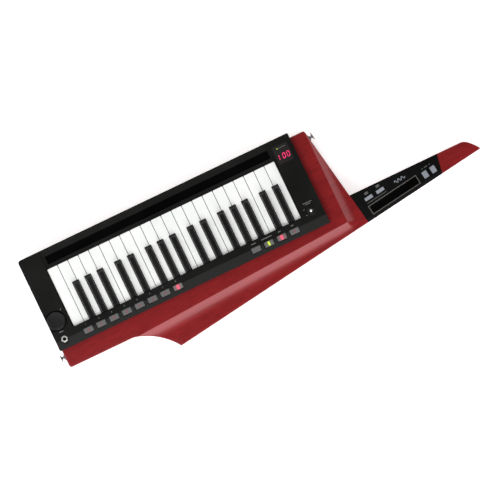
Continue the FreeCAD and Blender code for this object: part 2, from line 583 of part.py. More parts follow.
# ---------------------------------------------------------------- back and inside
def back_cover():
    """Plate in the wood's rebate, with the battery box moulded on it and a tab under the sockets."""
    x0, x1, y0, y1 = REBATE
    gap = 0.3
    plate = box(x0 + gap, x1 - gap, y0 + gap, y1 - gap, 0, COVER_T)
    tab = box(PLATE_X0, x0 + 1, BAY[2] + gap, y1 - gap, 0, COVER_T)
    d0, d1, e0, e1 = DOOR
    walls = box(d0 - 2, d1 + 2, e0 - 2, e1 + 2, COVER_T, 19.6)
    solid = joined([plate, tab, walls])
    middle = (e0 + e1) / 2
    cuts = [box(d0, d1, e0, e1, -1, 18.0).cut(box(d0, d1, middle - 0.8, middle + 0.8, 9.0, 19.0))]
    for x, y in COVER_SCREWS:
        cuts.append(tube(x, y, -1, 1.8, 3.2))
        cuts.append(tube(x, y, -1, 4, 1.4))
    for x in (d0 - 1.4, d1):
        cuts.append(rod((x, DOOR_AXIS_Y, DOOR_AXIS_Z), (1, 0, 0), 1.4, 0.8 + RUNNING))
    return solid.cut(cuts)


def battery_door():
    """Flat door with a rounded hinge edge, two stubs, and a latch tab with a thumb groove."""
    d0, d1, e0, e1 = DOOR
    x0, x1 = d0 + DOOR_GAP, d1 - DOOR_GAP
    z0, z1 = 0.2, 2.2
    slab = box(x0, x1, DOOR_AXIS_Y, e1 - DOOR_GAP, z0, z1)
    edge = rod((x0, DOOR_AXIS_Y, DOOR_AXIS_Z), (1, 0, 0), x1 - x0, (z1 - z0) / 2)
    stubs = rod((x0 - 1.4, DOOR_AXIS_Y, DOOR_AXIS_Z), (1, 0, 0), x1 - x0 + 2.8, 0.8)
    middle = (d0 + d1) / 2
    latch = box(middle - 8, middle + 8, e1 - 4, e1 - 2.2, z1, z1 + 0.7)
    groove = rod((middle - 10, e1 - 7, z0 - 1.2), (1, 0, 0), 20, 2.0)
    return joined([slab, edge, stubs, latch]).cut(groove)


def battery_cells():
    """Six AA cells in two rows of three, with a contact spring at each end of a row."""
    d0, d1, e0, e1 = DOOR
    start = (d0 + d1) / 2 - 1.5 * CELL_L
    cells = []
    for y in ((e0 + e1) / 2 - 8.5, (e0 + e1) / 2 + 8.5):
        for i in range(3):
            x = start + i * CELL_L
            body = rod((x, y, CELL_Z), (1, 0, 0), CELL_L - 1.4, CELL_R)
            nub = rod((x + CELL_L - 1.5, y, CELL_Z), (1, 0, 0), 1.3, 2.6)
            cells.append(joined([body, nub]))
        last = start + 3 * CELL_L - 0.2
        cells.append(lathe([(0, 0), (2.5, 0), (4.2, start - d0), (0, start - d0)],
                           (start, y, CELL_Z), (-1, 0, 0)))
        cells.append(lathe([(0, 0), (2.5, 0), (4.2, d1 - last), (0, d1 - last)], (last, y, CELL_Z), (1, 0, 0)))
    return cells


def connector_plate():
    """Upright plate in the side bay with its sockets: switch slot, power, USB, MIDI and two mini jacks."""
    plate = box(PLATE_X0, PLATE_X1, BAY[2], BAY[3], COVER_T, BAY_TOP)
    block = box(PLATE_X1, -364.5, SWITCH_Y - 7, 110, COVER_T + 1, BAY_TOP - 1)
    out = (-1, 0, 0)
    inner = PLATE_X0 + 9.0
    parts = [plate, block]
    parts += [rod((PLATE_X0 + 1, y, SOCKET_Z), out, 2.2, 3.9) for y in MINI_JACK_Y]
    parts.append(rod((PLATE_X0 + 1, MIDI_Y, SOCKET_Z), out, 1.8, 7.9))
    solid = joined(parts)
    front = PLATE_X0 - 3
    cuts = [
        box(front, PLATE_X0 + 7, USB_Y - 4.3, USB_Y + 4.3, SOCKET_Z - 4, SOCKET_Z + 4),
        rod((inner, POWER_Y, SOCKET_Z), out, 12, 2.9),
        rod((PLATE_X0 + 8, MIDI_Y, SOCKET_Z), out, 12, 6.8),
        box(front, PLATE_X0 + 3, SWITCH_Y - 4.2, SWITCH_Y + 4.2, SOCKET_Z - 2.2, SOCKET_Z + 2.2),
        box(PLATE_X1, PLATE_X1 + 4.5, SWITCH_Y - 5.4, SWITCH_Y + 5.4, SOCKET_Z - 3.4, SOCKET_Z + 3.4),
    ]
    cuts += [rod((inner, y, SOCKET_Z), out, 14, MINI_JACK_R) for y in MINI_JACK_Y]
    for angle in (-90, -45, 0, 45, 90):
        turn = math.radians(angle)
        cuts.append(rod((PLATE_X0 + 10.5, MIDI_Y + 4.3 * math.sin(turn), SOCKET_Z + 4.3 * math.cos(turn)),
                        out, 4, 0.8))
    solid = solid.cut(cuts)
    tongue = box(PLATE_X0 + 1, PLATE_X0 + 7.5, USB_Y - 2.6, USB_Y + 2.6, SOCKET_Z - 1.2, SOCKET_Z + 1.2)
    pin = rod((inner + 0.5, POWER_Y, SOCKET_Z), out, 8.5, 1.0)
    return joined([solid, tongue, pin])


def power_switch():
    """Slider with a ribbed knob, at its off end."""
    x_knob = PLATE_X0 - 2.2
    y = SWITCH_Y - 2.0
    base = box(PLATE_X1 + 0.4, PLATE_X1 + 2.8, y - 3.0, y + 3.0, SOCKET_Z - 3.0, SOCKET_Z + 3.0)
    knob = box(x_knob, PLATE_X1 + 0.5, y - 1.9, y + 1.9, SOCKET_Z - 1.9, SOCKET_Z + 1.9)
    grooves = [box(x_knob - 1, x_knob + 0.5, y + i - 0.25, y + i + 0.25, SOCKET_Z - 3, SOCKET_Z + 3)
               for i in (-1.0, 0.0, 1.0)]
    return joined([base, knob.cut(grooves)])


def circuit_boards():
    """Main board on the back cover's side, button boards, key contact board and the dial's encoder."""
    board_t = 1.6
    main = joined([box(-340, -110, -14, 84, 8.0, 8.0 + board_t),
                   box(-300, -276, 20, 44, 9.5, 12.5),
                   box(-240, -216, 30, 50, 9.5, 12.0),
                   box(-190, -170, 0, 14, 9.5, 16.0),
                   box(-150, -120, 60, 66, 9.5, 17.0)])
    legs = [tube(x, y, COVER_T, 8.0, 3.0) for x in (-332, -118) for y in (-8, 78)]
    boards = [joined([main] + legs)]
    for row in (MEMORY_X, FUNCTION_X):
        board = box(row[0] - 13, row[-1] + 13, -39.8, -29.5, BOARD_Z, BOARD_Z + board_t)
        switches = [box(x - 3, x + 3, BUTTON_Y - 3, BUTTON_Y + 3, BOARD_Z + 1.4, 40.0) for x in row]
        boards.append(joined([board] + switches))
    boards.append(box(KEYS_X0 + 1, KEYS_X1 - 1, 4, 38, 22.5, 24.1))
    encoder = box(DIAL[0] - 6.3, DIAL[0] + 6.3, DIAL[1] - 6.3, DIAL[1] + 6.3, 33.0, 41.0)
    boards.append(encoder.cut(tube(*DIAL, 33.6, 42, 3.06)))
    for places, w in ((MODE_BUTTONS, 40.0), (OCTAVE_BUTTONS, 28.0)):
        cx = (places[0][0] + places[1][0]) / 2
        cy = (places[0][1] + places[1][1]) / 2
        board = rounded(cx, cy, w, 10.0, 0.6, 21.0, 22.6, NECK_TURN)
        switches = [rounded(x, y, 5, 5, 0.4, 22.4, 24.2, NECK_TURN) for x, y in places]
        foot = rounded(cx, cy, w - 20, 5.0, 0.6, NECK_FLOOR, 21.2, NECK_TURN)
        boards.append(joined([board, foot] + switches))
    return boards


def case_screws():
    """Cover screws into the wood and neck screws through it."""
    short = [(0, 0), (1.4, 0), (1.4, 5.4), (2.9, 5.4), (2.9, 7.0), (0, 7.0)]
    long_ = [(0, 0), (1.4, 0), (1.4, 19.5), (3.2, 19.5), (3.2, 21.9), (0, 21.9)]
    screws = [lathe(short, (x, y, 7.2), (0, 0, -1)) for x, y in COVER_SCREWS]
    screws += [lathe(long_, (x, y, 25.5), (0, 0, -1)) for x, y in NECK_BOSSES]
    slots = []
    for (x, y), z in [(p, 0.2) for p in COVER_SCREWS] + [(p, 3.6) for p in NECK_BOSSES]:
        slots.append(box(x - 2, x + 2, y - 0.4, y + 0.4, z - 1, z + 0.8))
        slots.append(box(x - 0.4, x + 0.4, y - 2, y + 2, z - 1, z + 0.8))
    return [screw.cut(slots) for screw in screws]


# ---------------------------------------------------------------- build
def main():
    os.makedirs("parts", exist_ok=True)
    whites, blacks = key_layout()
    centres = [centre for name, centre in blacks]
    for name, x0, x1 in whites:
        write("white_key_" + name, white_key(x0, x1, centres))
    for name, centre in blacks:
        write("black_key_" + name, black_key(centre))
    write("key_frame", key_frame(whites, blacks))
    write("wood_body", wood_body())
    write("front_panel", front_panel())
    write("long_ribbon", long_ribbon())
    write("display_module", display_module())
    write("memory_buttons", button_strip(MEMORY_X))
    write("function_buttons", button_strip(FUNCTION_X))
    write("value_dial", value_dial())
    write("toggle_switch", toggle_switch())
    write("toggle_lever", toggle_lever())
    write("output_jack", output_jack())
    write("strap_pins", strap_pins())
    write("neck_cover", neck_cover())
    write("short_ribbon", short_ribbon())
    write("ribbon_mode_buttons", neck_buttons(MODE_BUTTONS, MODE_CAP))
    write("octave_buttons", neck_buttons(OCTAVE_BUTTONS, OCTAVE_CAP))
    write("back_cover", back_cover())
    write("battery_door", battery_door())
    write("battery_cells", battery_cells())
    write("connector_plate", connector_plate())
    write("power_switch", power_switch())
    write("circuit_boards", circuit_boards())
    write("case_screws", case_screws())


main()
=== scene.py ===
"""Looks of a shoulder keyboard (keytar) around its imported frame.

Sizes are millimetres in the instrument's own frame: it lies on its back, +X runs to the neck's tip, +Y to
the long ribbon's edge and +Z out of the front. Meshes are written in metres.
"""

from __future__ import annotations

import logging
import math
from collections.abc import Sequence
from dataclasses import dataclass
from enum import Enum

import bmesh
import bpy
import numpy as np
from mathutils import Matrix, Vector


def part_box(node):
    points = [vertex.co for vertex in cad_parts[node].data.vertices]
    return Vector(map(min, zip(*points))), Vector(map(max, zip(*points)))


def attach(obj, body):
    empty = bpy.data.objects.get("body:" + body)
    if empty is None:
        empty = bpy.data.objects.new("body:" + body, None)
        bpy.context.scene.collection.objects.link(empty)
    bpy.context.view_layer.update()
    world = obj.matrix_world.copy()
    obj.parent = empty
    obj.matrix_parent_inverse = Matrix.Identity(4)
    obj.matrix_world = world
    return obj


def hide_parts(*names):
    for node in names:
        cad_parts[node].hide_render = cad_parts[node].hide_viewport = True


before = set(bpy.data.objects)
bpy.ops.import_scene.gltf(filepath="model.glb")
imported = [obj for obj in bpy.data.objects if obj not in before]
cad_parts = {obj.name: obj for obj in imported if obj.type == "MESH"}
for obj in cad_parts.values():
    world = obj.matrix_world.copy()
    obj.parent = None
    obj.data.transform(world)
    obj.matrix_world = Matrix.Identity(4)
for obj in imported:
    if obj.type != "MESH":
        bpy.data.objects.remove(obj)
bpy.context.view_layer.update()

LOG = logging.getLogger("keytar")
MM = 0.001
TAU = 2 * math.pi
UP = (0.0, 0.0, 1.0)
STEP = 0.03  # half the width of a step between two heights
CREASE_DEGREES = 38.0  # edges that turn by more than this are bevelled

Colour = tuple[int, int, int]
Node = bpy.types.Node
Object = bpy.types.Object
Pair = tuple[float, float]
Socket = bpy.types.NodeSocket
Tree = bpy.types.NodeTree
Groups = dict[str, Tree]


# -------------------------------------------------------------------------------- mesh helpers
@dataclass
class Shell:
    """One surface: its points in millimetres and its four-cornered faces."""

    points: np.ndarray
    faces: np.ndarray

    def turned(self, degrees: float) -> Shell:
        """Returns the shell turned about the Z axis."""
        a = math.radians(degrees)
        spin = np.array([[math.cos(a), math.sin(a), 0], [-math.sin(a), math.cos(a), 0], [0, 0, 1]])
        return Shell(self.points @ spin, self.faces)

    def moved(self, x: float, y: float, z: float = 0.0) -> Shell:
        """Returns the shell moved by an offset."""
        return Shell(self.points + np.array([x, y, z]), self.faces)


def join(shells: Sequence[Shell]) -> Shell:
    """Joins shells into one list of points and faces.

    Args:
        shells: The shells, which stay separate solids.

    Returns:
        One shell that holds them all.
    """
    starts = np.cumsum([0] + [len(s.points) for s in shells[:-1]])
    faces = np.concatenate([s.faces + start for s, start in zip(shells, starts)])
    return Shell(np.concatenate([s.points for s in shells]), faces)


def grid_faces(rows: int, columns: int, wrap_columns: bool = False) -> np.ndarray:
    """Faces between neighbouring rows and columns of a grid of points.

    Args:
        rows: Number of rows.
        columns: Number of points in a row.
        wrap_columns: Whether the last column joins the first.

    Returns:
        An array of four point numbers per face.
    """
    i, j = np.meshgrid(np.arange(rows - 1), np.arange(columns - (not wrap_columns)), indexing="ij")
    following = (j + 1) % columns
    corners = [i * columns + j, (i + 1) * columns + j, (i + 1) * columns + following, i * columns + following]
    return np.stack(corners, axis=-1).reshape(-1, 4)


def looped(points: np.ndarray) -> Shell:
    """Shell of closed rings, from an array of rings by points by three."""
    return Shell(points.reshape(-1, 3), grid_faces(*points.shape[:2], wrap_columns=True))


def upright_rings(radius: np.ndarray, heights: np.ndarray, centre: Pair) -> Shell:
    """Rings about a vertical line: point(i, a) = centre + radius(i, a) * (cos a, sin a), at height i.

    Args:
        radius: Radius per ring and angle.
        heights: Height per ring.
        centre: The line's place in plan.

    Returns:
        The shell.
    """
    segments = radius.shape[1]
    a = np.arange(segments) * TAU / segments
    plan = radius[..., None] * np.stack([np.cos(a), np.sin(a)], axis=1) + np.array(centre)
    z = np.repeat(heights[:, None], segments, axis=1)
    return looped(np.concatenate([plan, z[..., None]], axis=-1))


def eased(profile: Sequence[Pair], radius: float, steps: int = 3) -> np.ndarray:
    """Rounds the inner corners of a profile with short quadratic curves.

    Each corner B becomes P(t) = (1-t)^2 P0 + 2t(1-t) B + t^2 P1, where P0 and P1 lie on its two sides, at the
    radius or 45% of the side, whichever is less.

    Args:
        profile: Points of (radius or inset, height).
        radius: How far from the corner the curve starts.
        steps: Intervals in each curve.

    Returns:
        The rounded profile as an array of points.
    """
    p = np.array(profile, float)
    t = np.linspace(0, 1, steps + 1)[:, None]
    rounded = [p[:1]]
    for before, corner, after in zip(p[:-2], p[1:-1], p[2:]):
        to_before, to_after = before - corner, after - corner
        reach_before = min(radius / np.linalg.norm(to_before), 0.45)
        reach_after = min(radius / np.linalg.norm(to_after), 0.45)
        first, last = corner + to_before * reach_before, corner + to_after * reach_after
        rounded.append((1 - t) ** 2 * first + 2 * t * (1 - t) * corner + t**2 * last)
    return np.concatenate(rounded + [p[-1:]])


@dataclass(frozen=True)
class Ridges:
    """Fine ridges round a turned piece, between two heights."""

    count: int
    depth: float
    low: float
    high: float


def revolved(
    profile: np.ndarray,
    base: Sequence[float],
    axis: Sequence[float] = UP,
    segments: int = 72,
    ridges: Ridges | None = None,
) -> Shell:
    """Surface of revolution about a line.

    Point(t, a) = base + height(t) * axis + radius(t, a) * (cos a * side + sin a * other side). Ridges take
    depth * sin^2(count * a / 2) off the radius between their two heights.

    Args:
        profile: Points of (radius, height). The ends on the axis close the surface.
        base: Where height is zero.
        axis: Direction of the line.
        segments: Steps round the axis.
        ridges: Optional ridges.

    Returns:
        The closed shell.
    """
    along = np.array(axis, float) / np.linalg.norm(axis)
    helper = np.array([0, 0, 1.0]) if abs(along[2]) < 0.9 else np.array([1.0, 0, 0])
    side = np.cross(helper, along)
    side /= np.linalg.norm(side)
    other = np.cross(along, side)
    a = np.arange(segments) * TAU / segments
    radius = np.repeat(profile[:, :1], segments, axis=1)
    if ridges:
        on = ((profile[:, 1] > ridges.low) & (profile[:, 1] < ridges.high))[:, None]
        radius = radius - on * ridges.depth * np.sin(ridges.count * a / 2)[None, :] ** 2
    ring = np.cos(a)[:, None] * side + np.sin(a)[:, None] * other
    return looped(np.array(base) + profile[:, 1, None, None] * along + radius[..., None] * ring)


def slab(
    size: Pair,
    corner: float,
    heights: Pair,
    edge: float = 0.3,
    crown: float = 0.0,
    arc_steps: int = 5,
) -> Shell:
    """A rounded rectangle in plan with eased edges and an optional crown.

    Point(u, v): u runs round the outline and v along a profile of (inset, height). At inset t the half sides
    shrink by t and the corner radius is max(radius - t, 0). The crown adds crown * (1 - (1 - s)^2) to the
    top, where s is the inset's share of half the depth.

    Args:
        size: Width along X and depth along Y.
        corner: Corner radius in plan.
        heights: Lower and upper height.
        edge: Radius of the upper and lower edges.
        crown: Extra height in the middle of the top.
        arc_steps: Points in each corner.

    Returns:
        The closed shell, centred on the Z axis.
    """
    low, high = heights
    half = np.array(size) / 2
    middle = float(min(half))
    corner = min(corner, middle * 0.98)
    edge = min(edge, middle * 0.45, (high - low) * 0.45)
    a = np.linspace(0, math.pi / 2, 4)
    lower = np.stack([edge - edge * np.sin(a), low + edge - edge * np.cos(a)], 1)
    upper = np.stack([edge - edge * np.cos(a), high - edge + edge * np.sin(a)], 1)
    s = np.linspace(edge / middle, 1, 5 if crown else 2)[1:]
    base = np.array([[middle, low]])
    roof = np.stack([s * middle, high + crown * (1 - (1 - s) ** 2)], 1)
    profile = np.concatenate([base, lower, upper, roof])
    turn = np.linspace(0, math.pi / 2, arc_steps)
    angles = np.concatenate([turn + quarter * math.pi / 2 for quarter in range(4)])
    quadrant = np.repeat(np.array([[1, 1], [-1, 1], [-1, -1], [1, -1]]), arc_steps, axis=0)
    inset = profile[:, 0, None]
    radius = np.maximum(corner - inset, 0)
    x = quadrant[:, 0] * (half[0] - inset - radius) + radius * np.cos(angles)
    y = quadrant[:, 1] * (half[1] - inset - radius) + radius * np.sin(angles)
    z = np.repeat(profile[:, 1, None], len(angles), axis=1)
    return looped(np.stack([x, y, z], -1))


def make_piece(name: str, shell: Shell, sharp_degrees: float = 35.0) -> Object:
    """Writes a shell to a new object, with its doubles merged and its faces outwards.

    Args:
        name: The object's name.
        shell: Points in millimetres and faces.
        sharp_degrees: Edges that turn by more than this stay sharp.

    Returns:
        The object, at the origin.
    """
    mesh = bpy.data.meshes.new(name)
    mesh.from_pydata((shell.points * MM).tolist(), [], shell.faces.tolist())
    clean(mesh)
    mesh.set_sharp_from_angle(angle=math.radians(sharp_degrees))
    piece = bpy.data.objects.new(name, mesh)
    bpy.context.scene.collection.objects.link(piece)
    return piece


def clean(mesh: bpy.types.Mesh, merge: float = 2e-6, flatten: bool = False) -> None:
    """Merges doubles, drops empty faces and loose edges, and turns faces outwards.

    Args:
        mesh: The mesh to change.
        merge: Points closer than this many metres become one.
        flatten: Whether to join faces that lie in one plane.
    """
    work = bmesh.new()
    work.from_mesh(mesh)
    bmesh.ops.remove_doubles(work, verts=work.verts, dist=merge)
    bmesh.ops.dissolve_degenerate(work, dist=merge / 2, edges=work.edges)
    loose = [edge for edge in work.edges if not edge.link_faces]
    bmesh.ops.delete(work, geom=loose, context="EDGES")
    if flatten:
        bmesh.ops.dissolve_limit(work, angle_limit=math.radians(0.4), verts=work.verts, edges=work.edges)
    else:
        bmesh.ops.recalc_face_normals(work, faces=work.faces)
    work.to_mesh(mesh)
    work.free()
    mesh.polygons.foreach_set("use_smooth", np.ones(len(mesh.polygons), bool))


def softened(node: str, width: float, segments: int = 2, sharp_degrees: float = 30.0) -> Object:
    """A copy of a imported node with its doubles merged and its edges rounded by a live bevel.

    Args:
        node: The node's name.
        width: Bevel width in millimetres.
        segments: Bevel steps.
        sharp_degrees: Edges that turn by more than this stay sharp.

    Returns:
        The copy, at the origin.
    """
    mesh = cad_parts[node].data.copy()
    mesh.materials.clear()
    clean(mesh, merge=1e-5, flatten=True)
    mesh.set_sharp_from_angle(angle=math.radians(sharp_degrees))
    piece = bpy.data.objects.new(node + "_shell", mesh)
    bpy.context.scene.collection.objects.link(piece)
    bevel = piece.modifiers.new("edges", "BEVEL")
    bevel.width = width * MM
    bevel.segments = segments
    bevel.limit_method = "ANGLE"
    bevel.angle_limit = math.radians(CREASE_DEGREES)
    bevel.use_clamp_overlap = True
    normals = piece.modifiers.new("flat_faces", "WEIGHTED_NORMAL")
    normals.keep_sharp = True
    return piece


def node_box(node: str) -> tuple[np.ndarray, np.ndarray]:
    """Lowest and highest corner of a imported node, in millimetres."""
    low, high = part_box(node)
    return np.array(low) / MM, np.array(high) / MM


def node_post(node: str) -> tuple[float, float, float, float]:
    """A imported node's middle along X and Y, and its lowest and highest z, in millimetres."""
    low, high = node_box(node)
    return (low[0] + high[0]) / 2, (low[1] + high[1]) / 2, low[2], high[2]


# -------------------------------------------------------------------------------- finishes
class Finish(Enum):
    """Every finish on the instrument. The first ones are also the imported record's slots."""

    WOOD = "wood_lacquer"
    PANEL = "panel_plastic"
    NECK = "neck_plastic"
    INNER = "inner_plastic"
    BACK = "back_plastic"
    FILM = "ribbon_film"
    SMOKE = "display_smoke"
    STEEL = "plated_steel"
    NICKEL = "socket_nickel"
    SCREW = "screw_steel"
    BUTTON = "button_grey"
    SILVER_BUTTON = "button_silver"
    DIAL = "dial_plastic"
    SWITCH = "switch_plastic"
    CONNECTOR = "connector_plastic"
    BATTERY = "battery_jacket"
    BOARD = "board"
    IVORY = "key_white"
    EBONY = "key_black"
    INK = "panel_ink"
    BEZEL = "ribbon_bezel"
    LAMP_DIM = "lamp_red_dim"
    LAMP_RED = "lamp_red"
    LAMP_GREEN = "lamp_green"
    DIGIT = "digit_glow"


def linear(red: int, green: int, blue: int) -> tuple[float, float, float, float]:
    """Turns a display colour of 0 to 255 into a linear colour."""
    c = np.array([red, green, blue]) / 255
    value = np.where(c <= 0.04045, c / 12.92, ((c + 0.055) / 1.055) ** 2.4)
    return (float(value[0]), float(value[1]), float(value[2]), 1.0)


class NodeSheet:
    """Adds and links nodes in one node tree."""

    def __init__(self, tree: Tree) -> None:
        """Keeps the tree that the nodes go into."""
        self.tree = tree

    def add(
        self, kind: str, values: dict[str | int, object] | None = None, **settings: object
    ) -> Node:
        """Adds a node.

        Args:
            kind: Blender's name for the node type.
            values: Socket values by name or number. A socket as a value is linked.
            settings: Properties of the node.

        Returns:
            The new node.
        """
        node = self.tree.nodes.new(kind)
        for key, value in settings.items():
            setattr(node, key, value)
        for key, value in (values or {}).items():
            if isinstance(value, Socket):
                self.tree.links.new(value, node.inputs[key])
            else:
                node.inputs[key].default_value = value
        return node

    def ramp(self, source: Socket, stops: Sequence[tuple[float, Sequence[float]]]) -> Socket:
        """Adds a colour ramp.

        Args:
            source: What drives it.
            stops: Pairs of position and colour.

        Returns:
            The ramp's colour socket.
        """
        node = self.add("ShaderNodeValToRGB", {"Fac": source})
        elements = node.color_ramp.elements
        while len(elements) < len(stops):
            elements.new(0.5)
        for element, (position, colour) in zip(elements, stops):
            element.position = position
            element.color = colour
        return node.outputs["Color"]

    def spread(self, source: Socket, low: float, high: float) -> Socket:
        """Maps a mask of 0 to 1 onto the range from low to high."""
        node = self.add("ShaderNodeMapRange", {"Value": source, "To Min": low, "To Max": high})
        return node.outputs["Result"]

    def blend(self, mask: Socket, first: object, second: object) -> Socket:
        """Mixes two colours by a mask."""
        return self.add("ShaderNodeMix", {0: mask, 6: first, 7: second}, data_type="RGBA").outputs[2]

    def relief(self, height: Socket, strength: float, distance: float, shader: Node) -> None:
        """Feeds a bump into the shader's normal."""
        bump = self.add("ShaderNodeBump", {"Height": height, "Strength": strength, "Distance": distance})
        self.tree.links.new(bump.outputs["Normal"], shader.inputs["Normal"])


def set_inputs(node: Node, values: dict[str, object]) -> None:
    """Sets constants on a node's own sockets."""
    for name, value in values.items():
        node.inputs[name].default_value = value


def new_group(name: str, inputs: dict[str, float], outputs: Sequence[str]) -> Tree:
    """Makes an empty shader group with its float sockets.

    Args:
        name: The group's name.
        inputs: Name and default value of each input.
        outputs: Names of the outputs.

    Returns:
        The group's node tree.
    """
    group = bpy.data.node_groups.new(name, "ShaderNodeTree")
    for socket_name, default in inputs.items():
        socket = group.interface.new_socket(socket_name, in_out="INPUT", socket_type="NodeSocketFloat")
        socket.default_value = default
    for socket_name in outputs:
        group.interface.new_socket(socket_name, in_out="OUTPUT", socket_type="NodeSocketFloat")
    return group


def moulded_skin_group() -> Tree:
    """Fine moulded texture and broad handling marks, both from object coordinates."""
    group = new_group(
        "moulded_skin", {"Grains per metre": 1500.0, "Marks per metre": 14.0}, ["Height", "Marks"]
    )
    sheet = NodeSheet(group)
    given = sheet.add("NodeGroupInput")
    place = sheet.add("ShaderNodeTexCoord").outputs["Object"]
    grain = sheet.add("ShaderNodeTexNoise", {"Vector": place, "Scale": given.outputs[0], "Detail": 3.0})
    marks = sheet.add(
        "ShaderNodeTexNoise", {"Vector": place, "Scale": given.outputs[1], "Detail": 4.0, "Roughness": 0.62}
    )
    contrast = sheet.add(
        "ShaderNodeMapRange", {"Value": marks.outputs["Fac"], "From Min": 0.32, "From Max": 0.68}
    )
    result = sheet.add("NodeGroupOutput")
    group.links.new(grain.outputs["Fac"], result.inputs["Height"])
    group.links.new(contrast.outputs["Result"], result.inputs["Marks"])
    return group


def streak_group() -> Tree:
    """Long thin streaks along X: wood fibres, or the drawn lines of metal."""
    group = new_group("streaks", {"Along": 5.0, "Across": 300.0, "Waviness": 0.4}, ["Streaks"])
    sheet = NodeSheet(group)
    given = sheet.add("NodeGroupInput")
    place = sheet.add("ShaderNodeTexCoord").outputs["Object"]
    along, across = given.outputs["Along"], given.outputs["Across"]
    stretch = sheet.add("ShaderNodeCombineXYZ", {0: along, 1: across, 2: across})
    scaled = sheet.add("ShaderNodeVectorMath", {0: place, 1: stretch.outputs[0]}, operation="MULTIPLY")
    noise = sheet.add(
        "ShaderNodeTexNoise",
        {"Vector": scaled.outputs[0], "Scale": 1.0, "Detail": 5.0, "Distortion": given.outputs["Waviness"]},
    )
    result = sheet.add("NodeGroupOutput")
    group.links.new(noise.outputs["Fac"], result.inputs["Streaks"])
    return group


@dataclass(frozen=True)
class Moulding:
    """A moulded or printed surface: two close colours, a roughness range and a fine texture."""

    dark: Colour
    light: Colour
    roughness: Pair
    grains: float = 1500.0
    bump: float = 0.05
    coat: float = 0.0
    metal: float = 0.0
    gloss: float = 0.5

    def dress(self, sheet: NodeSheet, shader: Node, groups: Groups) -> None:
        """Links colour, roughness and bump to the shader.

        Args:
            sheet: The material's nodes.
            shader: Its Principled BSDF.
            groups: The shared groups by name.
        """
        tree = groups["moulded_skin"]
        skin = sheet.add("ShaderNodeGroup", {"Grains per metre": self.grains}, node_tree=tree)
        link, marks = sheet.tree.links.new, skin.outputs["Marks"]
        link(sheet.blend(marks, linear(*self.dark), linear(*self.light)), shader.inputs["Base Color"])
        link(sheet.spread(marks, *self.roughness), shader.inputs["Roughness"])
        sheet.relief(skin.outputs["Height"], self.bump, 0.0002, shader)
        set_inputs(shader, {
            "Metallic": self.metal, "Specular IOR Level": self.gloss,
            "Coat Weight": self.coat, "Coat Roughness": 0.12,
        })


@dataclass(frozen=True)
class DrawnMetal:
    """Plated or blackened metal with faint drawn lines."""

    dark: Colour
    light: Colour
    roughness: Pair

    def dress(self, sheet: NodeSheet, shader: Node, groups: Groups) -> None:
        """Links colour, roughness and bump to the shader, as Moulding does."""
        lines = sheet.add("ShaderNodeGroup", {"Along": 400.0, "Across": 2600.0}, node_tree=groups["streaks"])
        link, streaks = sheet.tree.links.new, lines.outputs["Streaks"]
        link(sheet.blend(streaks, linear(*self.dark), linear(*self.light)), shader.inputs["Base Color"])
        link(sheet.spread(streaks, *self.roughness), shader.inputs["Roughness"])
        sheet.relief(streaks, 0.04, 0.0001, shader)
        set_inputs(shader, {"Metallic": 1.0})


@dataclass(frozen=True)
class Lamp:
    """A lit or dim window: a frosted colour that also shines."""

    colour: Colour
    strength: float

    def dress(self, sheet: NodeSheet, shader: Node, groups: Groups) -> None:
        """Links a frosted glow to the shader."""
        texture = {"Grains per metre": 900.0, "Marks per metre": 160.0}
        skin = sheet.add("ShaderNodeGroup", texture, node_tree=groups["moulded_skin"])
        edge = tuple(int(0.86 * c) for c in self.colour)
        frosted = sheet.blend(skin.outputs["Marks"], linear(*edge), linear(*self.colour))
        for name in ("Base Color", "Emission Color"):
            sheet.tree.links.new(frosted, shader.inputs[name])
        set_inputs(shader, {"Emission Strength": self.strength, "Roughness": 0.35})


@dataclass(frozen=True)
class PaintedGlow:
    """A glow of lamp light painted onto a cap as emission: its middle in millimetres, its colour and how far
    it reaches.
    """

    middle: tuple[float, float, float]
    colour: Colour
    reach: float = 9.0


@dataclass(frozen=True)
class CapsWithPaintedGlow:
    """A moulded surface with the soft light of the lamps under it painted on as an emitted glow."""

    skin: Moulding
    painted_glows: tuple[PaintedGlow, ...]

    def dress(self, sheet: NodeSheet, shader: Node, groups: Groups) -> None:
        """Dresses the skin, then paints the lamps' light on as emission: colour * (1 - distance / reach) of
        every glow.
        """
        self.skin.dress(sheet, shader, groups)
        place = sheet.add("ShaderNodeTexCoord").outputs["Object"]
        painted_glow_sum: object = (0.0, 0.0, 0.0)
        # Painted light: each lamp's glow is emission on the cap itself, fading with distance from the lamp.
        for glow in self.painted_glows:
            middle = tuple(v * MM for v in glow.middle)
            away = sheet.add("ShaderNodeVectorMath", {0: place, 1: middle}, operation="DISTANCE").outputs[1]
            fade = sheet.add(
                "ShaderNodeMapRange",
                {"Value": away, "From Max": glow.reach * MM, "To Min": 1.0, "To Max": 0.0},
                interpolation_type="SMOOTHSTEP",
            )
            light = sheet.blend(fade.outputs["Result"], (0.0, 0.0, 0.0, 1.0), linear(*glow.colour))
            painted_glow_sum = sheet.add("ShaderNodeVectorMath", {0: light, 1: painted_glow_sum}, operation="ADD").outputs[0]
        sheet.tree.links.new(painted_glow_sum, shader.inputs["Emission Color"])
        set_inputs(shader, {"Emission Strength": 1.0})


